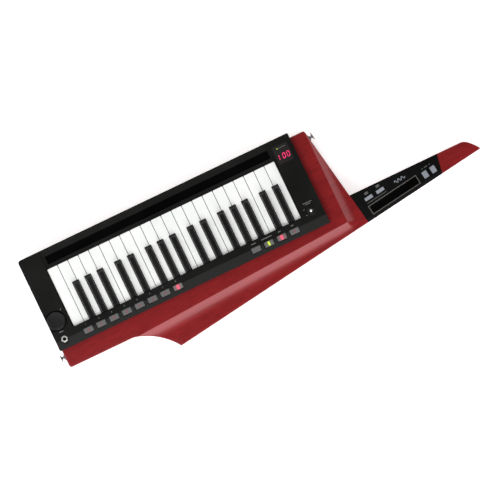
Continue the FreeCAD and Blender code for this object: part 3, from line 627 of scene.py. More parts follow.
@dataclass(frozen=True)
class LacqueredWood:
    """Straight dark figure under a clear red lacquer."""

    pore: Colour = (84, 8, 9)
    late: Colour = (111, 18, 20)
    early: Colour = (126, 23, 25)

    def dress(self, sheet: NodeSheet, shader: Node, groups: Groups) -> None:
        """Mixes broad bands and fine fibres into colour, and gives the lacquer a slight waviness."""
        link, tree = sheet.tree.links.new, groups["streaks"]
        wide = {"Along": 16.0, "Across": 130.0, "Waviness": 0.8}
        fine = {"Along": 60.0, "Across": 520.0}
        bands, fibres = (sheet.add("ShaderNodeGroup", v, node_tree=tree).outputs[0] for v in (wide, fine))
        broad = sheet.ramp(bands, [(0.30, linear(*self.late)), (0.70, linear(*self.early))])
        pores = sheet.ramp(fibres, [(0.34, (1, 1, 1, 1)), (0.54, (0, 0, 0, 1))])
        mask = sheet.add("ShaderNodeMath", {0: pores, 1: 0.36}, operation="MULTIPLY").outputs[0]
        link(sheet.blend(mask, broad, linear(*self.pore)), shader.inputs["Base Color"])
        link(sheet.spread(fibres, 0.30, 0.46), shader.inputs["Roughness"])
        sheet.relief(fibres, 0.05, 0.0002, shader)
        set_inputs(shader, {
            "Specular IOR Level": 0.38, "Specular Tint": (1.0, 0.38, 0.42, 1.0),
            "Coat Weight": 0.34, "Coat Roughness": 0.3,
        })


FINISHES: dict[Finish, Moulding | DrawnMetal | Lamp | CapsWithPaintedGlow | LacqueredWood] = {
    Finish.WOOD: LacqueredWood(),
    Finish.PANEL: Moulding((12, 12, 11), (17, 17, 16), (0.40, 0.50), grains=2200, bump=0.10, gloss=0.14),
    Finish.NECK: Moulding((8, 8, 8), (12, 12, 12), (0.34, 0.44), grains=2400, bump=0.08, gloss=0.09),
    Finish.INNER: Moulding((40, 40, 42), (52, 52, 54), (0.55, 0.70)),
    Finish.BACK: Moulding((28, 28, 28), (37, 37, 37), (0.52, 0.68), grains=1100, bump=0.22),
    Finish.FILM: Moulding((3, 3, 3), (6, 6, 6), (0.16, 0.24), grains=4000, bump=0.02, gloss=0.05),
    Finish.SMOKE: Moulding((32, 30, 30), (36, 34, 34), (0.07, 0.13), bump=0.0, coat=0.3),
    Finish.STEEL: DrawnMetal((138, 138, 140), (184, 184, 186), (0.18, 0.30)),
    Finish.NICKEL: DrawnMetal((225, 222, 218), (248, 246, 243), (0.34, 0.46)),
    Finish.SCREW: DrawnMetal((50, 50, 52), (84, 84, 86), (0.28, 0.45)),
    # The grey caps carry painted lamp light: an emitted glow around the three lit lamps.
    Finish.BUTTON: CapsWithPaintedGlow(
        Moulding((84, 83, 83), (96, 95, 95), (0.42, 0.55), grains=2600, bump=0.06),
        (
            PaintedGlow((-172.7, -33.2, 48.6), (150, 30, 50)),
            PaintedGlow((30.8, -33.2, 48.6), (150, 30, 50)),
            PaintedGlow((5.8, -33.2, 48.6), (70, 80, 20)),
        ),
    ),
    Finish.SILVER_BUTTON: Moulding((122, 126, 134), (136, 140, 148), (0.36, 0.48), grains=2600, bump=0.05),
    Finish.DIAL: Moulding((13, 13, 13), (18, 18, 18), (0.38, 0.52), grains=2600, bump=0.08, gloss=0.25),
    Finish.SWITCH: Moulding((22, 22, 22), (30, 30, 30), (0.40, 0.55)),
    Finish.CONNECTOR: Moulding((26, 26, 27), (36, 36, 37), (0.45, 0.60)),
    Finish.BATTERY: Moulding((120, 122, 128), (138, 140, 146), (0.25, 0.38), metal=0.6),
    Finish.BOARD: Moulding((16, 62, 34), (24, 78, 42), (0.30, 0.45), grains=500, bump=0.06),
    Finish.IVORY: Moulding((230, 232, 230), (240, 241, 239), (0.16, 0.26), grains=700, bump=0.015, coat=0.4),
    Finish.EBONY: Moulding((11, 11, 10), (15, 15, 14), (0.34, 0.44), grains=1800, bump=0.06, gloss=0.25),
    Finish.INK: Moulding((98, 98, 97), (112, 112, 111), (0.50, 0.60), bump=0.0),
    Finish.BEZEL: Moulding((72, 69, 64), (84, 81, 76), (0.34, 0.46)),
    Finish.LAMP_DIM: Lamp((132, 62, 68), 0.1),
    Finish.LAMP_RED: Lamp((255, 70, 98), 1.0),
    Finish.LAMP_GREEN: Lamp((186, 212, 48), 0.7),
    Finish.DIGIT: Lamp((214, 46, 98), 0.65),
}


class FinishBook:
    """Makes each finish's material once and puts it on pieces."""

    def __init__(self) -> None:
        """Builds the shared groups."""
        self.groups = {"moulded_skin": moulded_skin_group(), "streaks": streak_group()}
        self.materials: dict[Finish, bpy.types.Material] = {}

    def material(self, finish: Finish) -> bpy.types.Material:
        """Returns a finish's material, and makes it the first time."""
        if finish not in self.materials:
            material = bpy.data.materials.new(finish.value + "_finish")
            material.use_nodes = True
            shader = material.node_tree.nodes["Principled BSDF"]
            FINISHES[finish].dress(NodeSheet(material.node_tree), shader, self.groups)
            self.materials[finish] = material
        return self.materials[finish]

    def coat(self, piece: Object, finish: Finish) -> None:
        """Gives a piece one finish all over."""
        piece.data.materials.clear()
        piece.data.materials.append(self.material(finish))


# -------------------------------------------------------------------------------- sub-assemblies
@dataclass
class SubAssembly:
    """What the sub-assemblies share: the finishes, and how a piece is placed on its body."""

    book: FinishBook

    def place(
        self, piece: Object, body: str, finish: Finish, stands_for: Sequence[str] = ()
    ) -> Object:
        """Finishes a new piece and makes it ride on a body.

        Args:
            piece: The new object.
            body: The body it moves with.
            finish: Its finish.
            stands_for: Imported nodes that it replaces.

        Returns:
            The same object.
        """
        self.book.coat(piece, finish)
        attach(piece, body)
        if stands_for:
            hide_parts(*stands_for)
        LOG.info("%s rides on %s", piece.name, body)
        return piece

    def keep(self, node: str, finish: Finish) -> None:
        """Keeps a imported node's own mesh and gives it a finish."""
        self.book.coat(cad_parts[node], finish)
        LOG.info("%s keeps its mesh", node)

    def soften(
        self, node: str, body: str, finish: Finish, width: float, sharp: float = 30.0
    ) -> Object:
        """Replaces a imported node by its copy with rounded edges."""
        return self.place(softened(node, width, sharp_degrees=sharp), body, finish, [node])


@dataclass
class WoodenBody(SubAssembly):
    """The one-piece body: swept horn, raised part with its hollow cove, neck and head.

    It is swept along X as closed sections. Each section lies on a line x = foot - lean * (y - neck_y), so
    that the last ones run along the leaning shoulder and the ends of the neck cover.
    """

    left_x: float = -406.5
    top_y: float = 120.0
    low_y: float = -80.2
    corner: float = 5.0
    ease_radius: float = 36.0
    ease_turn: float = math.radians(16.5)
    sweep_radius: float = 116.0
    horn_tip: Pair = (-212.1, -129.5)
    neck_tip: Pair = (413.5, -43.1)
    neck_y: float = -17.9
    shoulder: Pair = (170.6, 0.1705)
    cover_end: Pair = (341.5, -0.1695)
    head_x: float = 388.5
    nose: Pair = (414.95, -41.2)
    crease_point: Pair = (-215.0, -78.0)
    crease_slope: float = 0.054
    right_crease_x: float = 146.5
    cove_width: float = 24.0
    crease_softness: float = 1.1
    body_top: float = 40.0
    neck_top: float = 30.0
    cover_floor: float = 18.0
    edge: float = 1.8
    top_corner: Pair = (3.6, 3.2)
    pocket: tuple[float, float, float, float, float] = (-401.0, 113.0, -40.5, 114.5, 8.0)
    rebate: tuple[float, float, float, float, float] = (-370.0, 90.0, -30.0, 100.0, 3.0)
    bay: tuple[float, float, float, float, float] = (-410.0, -374.0, 28.0, 112.0, 19.0)
    bay_roof: tuple[float, float, float, float, float] = (-401.0, -374.0, 26.0, 114.5, 21.5)
    back_opening: tuple[float, float, float, float] = (-362.0, 82.0, -22.0, 92.0)
    bay_opening: tuple[float, float, float, float] = (-374.0, -362.0, 28.0, 112.0)
    roof_end_z: float = 20.2
    floor_end_z: float = 5.5

    def lower_edge(self, x: np.ndarray) -> np.ndarray:
        """Lower edge in plan.

        It is a quarter circle, a straight edge, a small and a large arc of the horn, and the long straight
        edge. On an arc, y = centre y + sqrt(r^2 - (x - centre x)^2).

        Args:
            x: Places along the instrument.

        Returns:
            The edge's y at each place.
        """
        turn, small, large = self.ease_turn, self.ease_radius, self.sweep_radius
        drop = small * (1 - math.cos(turn))
        end = math.acos(math.cos(turn) - (self.low_y - drop - self.horn_tip[1]) / large)
        run = small * math.sin(turn) + large * (math.sin(end) - math.sin(turn))
        start = self.horn_tip[0] - run
        middle = start + small * math.sin(turn)
        centre = (middle - large * math.sin(turn), self.low_y - drop - large * math.cos(turn))
        corner_part = self.low_y + self.corner - np.sqrt(
            np.maximum(self.corner**2 - np.maximum(self.left_x + self.corner - x, 0) ** 2, 0)
        )
        small_part = self.low_y - small + np.sqrt(small**2 - np.clip(x - start, 0, small) ** 2)
        large_part = centre[1] + np.sqrt(large**2 - np.clip(x - centre[0], 0, large) ** 2)
        slope = (self.neck_tip[1] - self.horn_tip[1]) / (self.neck_tip[0] - self.horn_tip[0])
        straight = self.horn_tip[1] + slope * (x - self.horn_tip[0])
        parts = [corner_part, small_part, large_part]
        return np.select([x < start, x < middle, x < self.horn_tip[0]], parts, straight)

    def head_edge(self, x: np.ndarray) -> np.ndarray:
        """Upper edge of neck and head: straight, then y = neck_y - fall * s^1.7, with s = 1 at the nose."""
        s = np.clip((x - self.head_x) / (self.nose[0] - self.head_x), 0, 1)
        return self.neck_y - (self.neck_y - self.nose[1]) * s**1.7

    def crease_y(self, x: np.ndarray) -> np.ndarray:
        """The straight crease that bounds the raised part below."""
        return self.crease_point[1] + self.crease_slope * (x - self.crease_point[0])

    def top(self, x: np.ndarray, y: np.ndarray) -> np.ndarray:
        """Height of the front.

        With d the distance beyond the two creases, softened as sqrt(d^2 + e^2) - e, the height is
        neck_top + R - sqrt(R^2 - (width - d)^2) inside the cove and neck_top past it. The pocket is cut out,
        but for the roof over the cable bay.

        Args:
            x: Places along the instrument.
            y: Places across it.

        Returns:
            Heights at those places.
        """
        depth = self.body_top - self.neck_top
        radius = (self.cove_width**2 + depth**2) / (2 * depth)
        below = np.maximum(self.crease_y(x) - y, 0) * math.cos(math.atan(self.crease_slope))
        d = np.hypot(np.maximum(x - self.right_crease_x, 0), below)
        d = np.sqrt(d**2 + self.crease_softness**2) - self.crease_softness
        left = np.clip(self.cove_width - d, 0, self.cove_width)
        height = self.neck_top + radius - np.sqrt(radius**2 - left**2)
        for area in (self.pocket, self.bay_roof):
            height = np.where(inside(x, y, area), area[4], height)
        return np.where(self.through(x, y), self.meeting(x), height)

    def through(self, x: np.ndarray, y: np.ndarray) -> np.ndarray:
        """Whether points lie in the openings that go right through."""
        return inside(x, y, self.back_opening) | inside(x, y, self.bay_opening)

    def meeting(self, x: np.ndarray) -> np.ndarray:
        """Where front and back meet in the openings: within the roof at its end, else in the floor."""
        return np.where(x < self.bay_opening[0] + 2 * STEP, self.roof_end_z, self.floor_end_z)

    def under(self, x: np.ndarray, y: np.ndarray) -> np.ndarray:
        """Height of the back: flat, with the cover's rebate and the cable bay let in."""
        depth = np.zeros_like(x)
        for area in (self.rebate, self.bay):
            depth = np.where(inside(x, y, area), area[4], depth)
        return np.where(self.through(x, y), self.meeting(x), depth)

    def sweep(
        self,
        foot: np.ndarray,
        lean: np.ndarray,
        upper: np.ndarray,
        top: np.ndarray | None,
        cuts: Sequence[float],
        rungs: Sequence[float],
    ) -> Shell:
        """Closed sections carried along X.

        Each section runs up the lower side, across the front, down the upper side and back along the back.
        Its edges are quarter circles of the edge radius, and the cove's points crowd towards the crease.
        Front and back meet in the openings, and the faces there are left out.

        Args:
            foot: Each section's x at neck_y.
            lean: Each section's lean.
            upper: Each section's upper end in y.
            top: Height of the front per section, or None for the body's own front.
            cuts: Places in y where a section steps.
            rungs: More places in y where a section has a point.

        Returns:
            The closed shell.
        """

        def line_x(y: np.ndarray) -> np.ndarray:
            """Each section's x at its points."""
            return foot[:, None] - lean[:, None] * (y - self.neck_y)

        low = self.lower_edge(foot)
        for _ in range(6):
            low = self.lower_edge(foot - lean * (low - self.neck_y))
        r = np.minimum(self.edge, (upper - low) * 0.45)
        first, last = low + r, upper - r
        crease = np.clip(self.crease_y(foot - lean * (low - self.neck_y)), first, last)
        cove_end = np.clip(crease - self.cove_width, first, last)
        bend = np.linspace(1, 0, 17) ** 1.6
        steps = [first, (first + cove_end) / 2]
        steps += list(crease + (cove_end - crease) * bend[:, None])
        levels = sorted([c + side * STEP for c in cuts for side in (-1, 1)] + list(rungs))
        steps += [np.clip(np.full_like(low, level), crease, last) for level in levels]
        flat_y = np.stack(steps + [last], axis=1)
        flat_x = line_x(flat_y)
        front = self.top(flat_x, flat_y) if top is None else np.repeat(top[:, None], flat_y.shape[1], axis=1)
        back = self.under(flat_x, flat_y)
        a = np.linspace(0, math.pi / 2, 5)[None, :]
        r = r[:, None]
        rise, fall = r * (1 - np.cos(a)), r * (1 - np.sin(a))
        low_y_side = low[:, None] + np.concatenate([fall, rise], axis=1)
        low_z_side = np.concatenate([back[:, :1] + rise, front[:, :1] - fall], axis=1)
        high_y_side = upper[:, None] - np.concatenate([fall, rise], axis=1)[:, ::-1]
        high_z_side = np.concatenate([back[:, -1:] + rise, front[:, -1:] - fall], axis=1)[:, ::-1]
        y = np.concatenate([low_y_side, flat_y[:, 1:-1], high_y_side, flat_y[:, -2:0:-1]], axis=1)
        z = np.concatenate([low_z_side, front[:, 1:-1], high_z_side, back[:, -2:0:-1]], axis=1)
        z = self.eased_ends(z, foot, y)
        rows, columns = y.shape
        points = np.stack([line_x(y), y, z], axis=-1).reshape(-1, 3)
        faces = [grid_faces(rows, columns, wrap_columns=True)]
        for start in (0, (rows - 1) * columns):
            j = np.arange(5, columns // 2 + 4)
            mirror, following = (columns + 9 - j) % columns, (columns + 8 - j) % columns
            faces.append(np.stack([j, j + 1, following, mirror], axis=1) + start)
        faces = np.concatenate(faces)
        gone = self.through(points[:, 0], points[:, 1])
        return Shell(points, faces[~gone[faces].all(axis=1)])

    def eased_ends(self, z: np.ndarray, foot: np.ndarray, y: np.ndarray) -> np.ndarray:
        """Lowers the front and raises the back near the left end and the shoulder, as quarter circles.

        At distance t from the end, the edge gives way by r - sqrt(r^2 - (r - t)^2).

        Args:
            z: Heights of the sections' points.
            foot: Each section's x at neck_y.
            y: The points' places across.

        Returns:
            The eased heights.
        """
        r = self.edge
        from_left = foot - self.left_x
        from_shoulder = np.where(foot <= self.shoulder[0] + 1e-6, self.shoulder[0] - foot, r)

        def give(t: np.ndarray) -> np.ndarray:
            """How much an edge has given way at a distance from it."""
            return r - np.sqrt(np.maximum(r**2 - np.clip(r - t, 0, r) ** 2, 0))

        clear_of_neck = np.clip((y - self.neck_y - r) / (2 * r), 0, 1)
        amount = give(from_left)[:, None] + give(from_shoulder)[:, None] * clear_of_neck
        middle = z.mean(axis=1, keepdims=True)
        return np.where(z > middle, z - amount, z + amount)

    def build(self) -> None:
        """Builds the body up to the shoulder, the neck under its cover and the head, as one piece."""
        ring = self.edge * (1 - np.cos(np.linspace(0, math.pi / 2, 5)))
        areas = (self.pocket, self.rebate, self.bay, self.bay_roof, self.back_opening, self.bay_opening)
        steps = sorted({area[i] for area in areas for i in (0, 1)} - {self.bay[0]})
        pairs = np.array([s + side * STEP for s in steps for side in (-1, 1)])
        body = np.concatenate([
            self.left_x + ring,
            self.left_x + np.linspace(2.2, 5.0, 7),
            pairs,
            [self.bay_opening[0] + 0.1],
            np.arange(-396.0, -292.0, 8.0),
            np.arange(-290.0, self.horn_tip[0], 1.5),
            np.arange(self.horn_tip[0], self.right_crease_x - 4.0, 7.0),
            np.linspace(self.right_crease_x - 3.6, self.right_crease_x, 9),
        ])
        body = np.unique(np.round(body, 4))
        fan = np.concatenate([
            0.92 * np.linspace(0, 1, 25) ** 1.5, 1 - ring[::-1] / (self.shoulder[0] - self.right_crease_x)
        ])
        fan = np.unique(np.round(fan[fan > 0], 5))
        foot = np.concatenate([body, self.right_crease_x + fan * (self.shoulder[0] - self.right_crease_x)])
        lean = np.concatenate([np.zeros(len(body)), fan * self.shoulder[1]])
        corner_x = self.shoulder[0] - self.shoulder[1] * (self.top_y - self.neck_y)
        reach, fall = self.top_corner
        upper = np.full_like(foot, self.top_y)
        for _ in range(6):
            q = np.clip((foot - lean * (upper - self.neck_y) - corner_x) / reach + 1, 0, 1)
            upper = self.top_y - fall * (1 - np.sqrt(1 - q**2))
        cuts = sorted({area[i] for area in areas for i in (2, 3)})
        main = self.sweep(foot, lean, upper, None, cuts, np.arange(-66.0, 116.0, 7.0))
        share = np.linspace(0, 1, 9)
        start, end = np.array(self.shoulder), np.array(self.cover_end)
        covered = start + (end - start) * share[:, None]
        head_foot = np.concatenate([
            [end[0] + 0.02], np.linspace(348, self.head_x, 6), self.head_x + (self.nose[0] - self.head_x)
            * np.sin(np.linspace(0.15, math.pi / 2, 12))
        ])
        head_lean = np.concatenate([[end[1]], end[1] * np.linspace(0.8, 0, 6), np.zeros(12)])
        neck_foot = np.concatenate([covered[:, 0], head_foot])
        neck_lean = np.concatenate([covered[:, 1], head_lean])
        heights = np.concatenate([np.full(9, self.cover_floor), np.full(len(head_foot), self.neck_top)])
        neck = self.sweep(neck_foot, neck_lean, self.head_edge(neck_foot), heights, [], [])
        piece = make_piece("wooden_body", join([main, neck]), sharp_degrees=40.0)
        self.place(piece, "instrument", Finish.WOOD, ["wood_body"])


def inside(x: np.ndarray, y: np.ndarray, area: Sequence[float]) -> np.ndarray:
    """Whether points lie in a plan rectangle given as low x, high x, low y, high y and a depth."""
    return (x > area[0]) & (x < area[1]) & (y > area[2]) & (y < area[3])


def flat_mark(width: float, depth: float, x: float, y: float, z: float, turn: float = 0.0) -> Shell:
    """A thin printed bar on a surface.

    Args:
        width: Its length.
        depth: Its thickness in plan.
        x: Its middle along X.
        y: Its middle along Y.
        z: Height of the surface.
        turn: Its turn in degrees.

    Returns:
        The bar as a shell 0.04 mm high.
    """
    return slab((width, depth), depth * 0.3, (z - 0.05, z + 0.04), 0.02, arc_steps=3).turned(turn).moved(x, y)


def numeral(digit: str, height: float, x: float, y: float, z: float) -> Shell:
    """A printed numeral, made a mesh before it is placed.

    Args:
        digit: What to print.
        height: Size of the lettering.
        x: Its middle along X.
        y: Its foot along Y.
        z: Height of the surface.

    Returns:
        The numeral as a thin shell.
    """
    curve = bpy.data.curves.new("numeral", "FONT")
    curve.body = digit
    curve.size = height
    curve.extrude = 0.03
    curve.offset = 0.06
    curve.align_x = "CENTER"
    curve.resolution_u = 3
    holder = bpy.data.objects.new("numeral", curve)
    mesh = bpy.data.meshes.new_from_object(holder)
    work = bmesh.new()
    work.from_mesh(mesh)
    bmesh.ops.remove_doubles(work, verts=work.verts, dist=1e-4)
    bmesh.ops.triangulate(work, faces=work.faces)
    points = np.array([v.co for v in work.verts])
    corners = np.array([[v.index for v in f.verts] for f in work.faces])
    work.free()
    bpy.data.objects.remove(holder)
    bpy.data.meshes.remove(mesh)
    return Shell(points + np.array([x, y, z]), np.concatenate([corners, corners[:, 2:]], axis=1))


@dataclass
class FrontPanel(SubAssembly):
    """Black panel, long ribbon, display and the printed marks."""

    face: float = 50.0
    edge: float = 0.55
    numeral_height: float = 3.8
    label_y: float = -23.4
    bar_lengths: tuple[float, float, float, float] = (9.0, 20.0, 5.0, 5.0)
    digit_size: Pair = (6.0, 10.6)
    digit_slant: float = 0.10

    def ribbon(self) -> None:
        """The touch film in its trough, a long slab with a faint crown."""
        low, high = node_box("long_ribbon")
        size, middle = high - low, (low + high) / 2
        film = slab((size[0], size[1]), 0.6, (low[2], high[2] - 0.12), 0.15, crown=0.12)
        piece = make_piece("long_ribbon_film", film.moved(middle[0], middle[1]))
        self.place(piece, "instrument", Finish.FILM, ["long_ribbon"])

    def segment_digit(self, lit: str, x: float, y: float, z: float) -> list[Shell]:
        """One seven-segment digit.

        Args:
            lit: Letters a to g of the lit segments.
            x: The digit's middle along X.
            y: Its middle along Y.
            z: Height of its face.

        Returns:
            One slanted bar per lit segment.
        """
        width, height = self.digit_size
        stroke = 1.6
        across, up = (width - stroke) / 2, (height - stroke) / 2
        places = {
            "a": (0, up, 0), "d": (0, -up, 0), "g": (0, 0, 0),
            "b": (across, up / 2, 90), "c": (across, -up / 2, 90),
            "f": (-across, up / 2, 90), "e": (-across, -up / 2, 90),
        }
        bars = []
        for letter in lit:
            dx, dy, turn = places[letter]
            length = (up - 0.35) if turn else (2 * across - 0.35)
            bar = slab((length, stroke), stroke / 2, (z - 0.1, z + 0.03), 0.02, arc_steps=4).turned(turn)
            bar = bar.moved(dx, dy)
            bar.points[:, 0] += self.digit_slant * bar.points[:, 1]
            bars.append(bar.moved(x, y))
        return bars

    def display(self) -> None:
        """Smoked window with its digits, a green dot and a faint line."""
        x, y, _, z = node_post("display_module")
        self.keep("display_module", Finish.SMOKE)
        bars: list[Shell] = []
        for lit, dx in (("bc", -11.0), ("abcdef", 0.2), ("abcdef", 8.4)):
            bars += self.segment_digit(lit, x + dx, y - 4.0, z)
        self.place(make_piece("display_digits", join(bars)), "instrument", Finish.DIGIT)
        dot = slab((1.8, 1.8), 0.85, (z - 0.2, z + 0.05), 0.05, crown=0.15).moved(x - 6.2, y + 11.5)
        self.place(make_piece("status_dot", dot), "instrument", Finish.LAMP_GREEN)
        line = join([flat_mark(2.6, 0.9, x - 2.6 + 3.6 * i, y + 11.5, z) for i in range(4)])
        self.place(make_piece("status_marks", line), "instrument", Finish.INK)

    def marks(self) -> None:
        """Numerals and bars over the two button rows, and marks by the toggle and dial."""
        z = self.face
        prints = [
            numeral(str(i + 1), self.numeral_height, x, self.label_y, z)
            for i, x in enumerate(cap_places("memory_buttons", 8))
        ]
        prints += [
            flat_mark(length, 1.3, x, self.label_y + 1.3, z)
            for length, x in zip(self.bar_lengths, cap_places("function_buttons", 4))
        ]
        x, y, _, _ = node_post("toggle_switch")
        prints += [
            flat_mark(17.0, 1.2, x, y + 16.0, z),
            flat_mark(10.0, 1.2, x, y + 13.0, z),
            flat_mark(2.6, 1.0, x - 10.8, y + 6.0, z),
            flat_mark(2.6, 1.0, x - 10.0, y - 5.0, z),
        ]
        x, y, _, _ = node_post("value_dial")
        prints += [
            flat_mark(4.2, 0.8, x + 15.6, y + 15.6, z, 45),
            flat_mark(8.0, 1.4, x, y - 21.0, z),
        ]
        self.place(make_piece("panel_print", join(prints)), "instrument", Finish.INK)

    def build(self) -> None:
        """Builds the panel's pieces."""
        self.soften("front_panel", "instrument", Finish.PANEL, self.edge, sharp=12.0)
        self.ribbon()
        self.display()
        self.marks()


def cap_places(node: str, count: int, overhang: float = 11.5) -> np.ndarray:
    """Middles along X of a button row's caps, whose carrier runs past the outer ones by the overhang."""
    low, high = node_box(node)
    return np.linspace(low[0] + overhang, high[0] - overhang, count)


@dataclass
class Keyboard(SubAssembly):
    """White and black keys and the tray under them."""

    white_edge: float = 0.45
    black_edge: float = 0.5

    def build(self) -> None:
        """Rounds each key and finishes the tray."""
        for node in sorted(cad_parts):
            if node.startswith("white_key"):
                self.soften(node, node, Finish.IVORY, self.white_edge)
            elif node.startswith("black_key"):
                self.soften(node, node, Finish.EBONY, self.black_edge)
        self.keep("key_frame", Finish.INNER)


@dataclass
class ButtonRows(SubAssembly):
    """The two rows of panel buttons with their lamp windows."""

    cap_edge: float = 0.5
    lit_lamp: Pair = (3.2, 7.6)
    dim_lamp: Pair = (1.9, 6.0)

    def windows(self, name: str, node: str, places: Sequence[float], finish: Finish) -> None:
        """Adds crowned lamp windows on caps.

        Args:
            name: The piece's name.
            node: The button row.
            places: Middles along X.
            finish: The lamps' finish.
        """
        _, row_y, top = node_box(node)[1] - [0, 6.2, 0]
        size = self.dim_lamp if finish is Finish.LAMP_DIM else self.lit_lamp
        lamps = [slab(size, 0.9, (top - 0.6, top + 0.04), 0.1, crown=0.12).moved(x, row_y) for x in places]
        self.place(make_piece(name, join(lamps)), node, finish)

    def build(self) -> None:
        """Builds both rows: the eighth memory lamp is lit, and so are the second and third function lamps."""
        for row in ("memory_buttons", "function_buttons"):
            self.soften(row, row, Finish.BUTTON, self.cap_edge)
        memory, functions = cap_places("memory_buttons", 8), cap_places("function_buttons", 4)
        self.windows("memory_lamps_dim", "memory_buttons", memory[:7], Finish.LAMP_DIM)
        self.windows("memory_lamp_lit", "memory_buttons", memory[7:], Finish.LAMP_RED)
        self.windows("function_lamp_green", "function_buttons", functions[1:2], Finish.LAMP_GREEN)
        self.windows("function_lamp_lit", "function_buttons", functions[2:3], Finish.LAMP_RED)
        self.windows("function_lamp_dim", "function_buttons", functions[3:], Finish.LAMP_DIM)


@dataclass
class PanelHardware(SubAssembly):
    """Turned pieces on the panel: dial, toggle and output socket."""

    def dial(self) -> None:
        """A flat dial with a finely ridged rim, a thin groove and a shallow dish."""
        x, y, bottom, top = node_post("value_dial")
        r = node_box("value_dial")[1][0] - x
        foot = top - 8.2
        profile = eased(
            [(0, bottom), (3, bottom), (3, foot), (r, foot), (r, top - 1.0), (r - 1.0, top), (r - 2.2, top),
             (r - 2.6, top - 0.35), (r - 3.0, top), (r - 3.6, top), (r - 6, top - 0.35), (0, top - 0.6)],
            0.25,
        )
        ridges = Ridges(90, 0.28, foot + 0.5, top - 0.9)
        piece = make_piece("dial_knob", revolved(profile, (x, y, 0), segments=360, ridges=ridges))
        self.place(piece, "value_dial", Finish.DIAL, ["value_dial"])

    def toggle(self) -> None:
        """Ridged dress ring, six-sided nut and threaded bush, with the lever that leans in them."""
        x, y, _, top = node_post("toggle_switch")
        ring = revolved(
            eased([(3.2, 49.8), (8.5, 49.8), (8.5, 50.7), (8.0, 51.0), (6.2, 51.0), (5.8, 50.8), (3.2, 50.8),
                   (3.2, 49.8)], 0.15),
            (x, y, 0), segments=240, ridges=Ridges(80, 0.16, 49.9, 50.9),
        )
        self.place(make_piece("toggle_ring", ring), "instrument", Finish.DIAL)
        nut = hexagon_nut((x, y), 5.3, 3.15, 51.0, top)
        thread = threaded_tube((x, y), 3.08, 2.5, 40.0, top - 0.2, 0.5)
        bush = make_piece("toggle_bush", join([nut, thread]))
        self.place(bush, "instrument", Finish.SWITCH, ["toggle_switch"])
        foot, tip = node_post("toggle_lever")[2:]
        bat = eased(
            [(0, foot), (1.7, foot + 0.7), (2.4, foot + 2.4), (1.7, foot + 4.1), (1.15, foot + 5.0),
             (1.2, foot + 7.0), (2.0, tip - 4.9), (2.6, tip - 3.7), (2.7, tip - 2.5), (2.2, tip - 1.0),
             (1.1, tip - 0.15), (0, tip)],
            0.7, steps=5,
        )
        piece = make_piece("toggle_bat", revolved(bat, (x, y, 0), segments=48), sharp_degrees=60)
        self.place(piece, "toggle_lever", Finish.NICKEL)
        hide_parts("toggle_lever")

    def socket(self) -> None:
        """Threaded barrel with a nut and washer, a dark throat and its spring contact."""
        x, y, bottom, top = node_post("output_jack")
        nut = hexagon_nut((x, y), 6.3, 4.62, 46.9, top - 0.8, turn=10)
        washer = revolved(
            eased([(4.65, 46.45), (7.6, 46.45), (7.6, 46.9), (4.65, 46.9), (4.65, 46.45)], 0.08), (x, y, 0)
        )
        barrel = threaded_tube((x, y), 4.58, 3.2, 43.5, top, 0.75)
        self.place(make_piece("socket_washer", washer), "instrument", Finish.SWITCH)
        self.place(make_piece("socket_metal", join([nut, barrel])), "instrument", Finish.NICKEL)
        case = eased(
            [(3.25, 43.9), (7.0, 43.9), (7.0, bottom), (0, bottom), (0, bottom + 1.5), (3.25, bottom + 1.5),
             (3.25, 43.9)], 0.2,
        )
        body = revolved(case, (x, y, 0), segments=48)
        self.place(make_piece("socket_case", body), "instrument", Finish.CONNECTOR, ["output_jack"])
        leaf = slab((0.8, 2.2), 0.3, (0, 16.0), 0.2).moved(x + 2.6, y, 24.0)
        self.place(make_piece("socket_contact", leaf), "instrument", Finish.STEEL)

    def build(self) -> None:
        """Builds the three."""
        self.dial()
        self.toggle()
        self.socket()


def hexagon_nut(
    centre: Pair, corner: float, hole: float, low: float, high: float, turn: float = 0.0
) -> Shell:
    """A nut with chamfered corners: radius(a) = min(flat / cos(a mod 60 - 30), chamfer radius at the height).

    Args:
        centre: Its middle in plan.
        corner: Radius to its corners.
        hole: Hole radius.
        low: Lower face.
        high: Upper face.
        turn: Turn in degrees.

    Returns:
        The closed shell.
    """
    segments = 96
    a = np.arange(segments) * TAU / segments
    flat = corner * math.cos(math.pi / 6)
    across = flat / np.cos((a - math.radians(turn)) % (math.pi / 3) - math.pi / 6)
    chamfer = (corner - flat) * 1.05
    limit = np.array([
        (hole, low), (flat - 0.1, low), (corner, low + 0.35 * chamfer), (corner, high - chamfer * 0.6),
        (flat - 0.1, high), (hole + 0.25, high), (hole, high - 0.25), (hole, low),
    ])
    return upright_rings(np.minimum(limit[:, :1], across[None, :]), limit[:, 1], centre)


def threaded_tube(
    centre: Pair, outer: float, inner: float, low: float, high: float, pitch: float
) -> Shell:
    """A tube with a thread: outer radius(a, z) = outer - depth * (1 + cos(TAU * (z / pitch) - a)) / 2.

    Args:
        centre: Its middle in plan.
        outer: Crest radius.
        inner: Bore radius.
        low: Lower end.
        high: Upper end.
        pitch: Thread pitch.

    Returns:
        The closed shell.
    """
    segments, depth = 48, pitch * 0.35
    a = np.arange(segments) * TAU / segments
    z = np.arange(low, high - 0.35, pitch / 6)
    wound = outer - depth * (1 + np.cos(TAU * z[:, None] / pitch - a[None, :])) / 2
    rim = np.repeat([[outer - 0.35], [inner + 0.2], [inner], [inner]], segments, axis=1)
    radius = np.concatenate([np.full((1, segments), inner), wound, rim])
    return upright_rings(radius, np.concatenate([[low], z, [high, high, high - 0.2, low]]), centre)


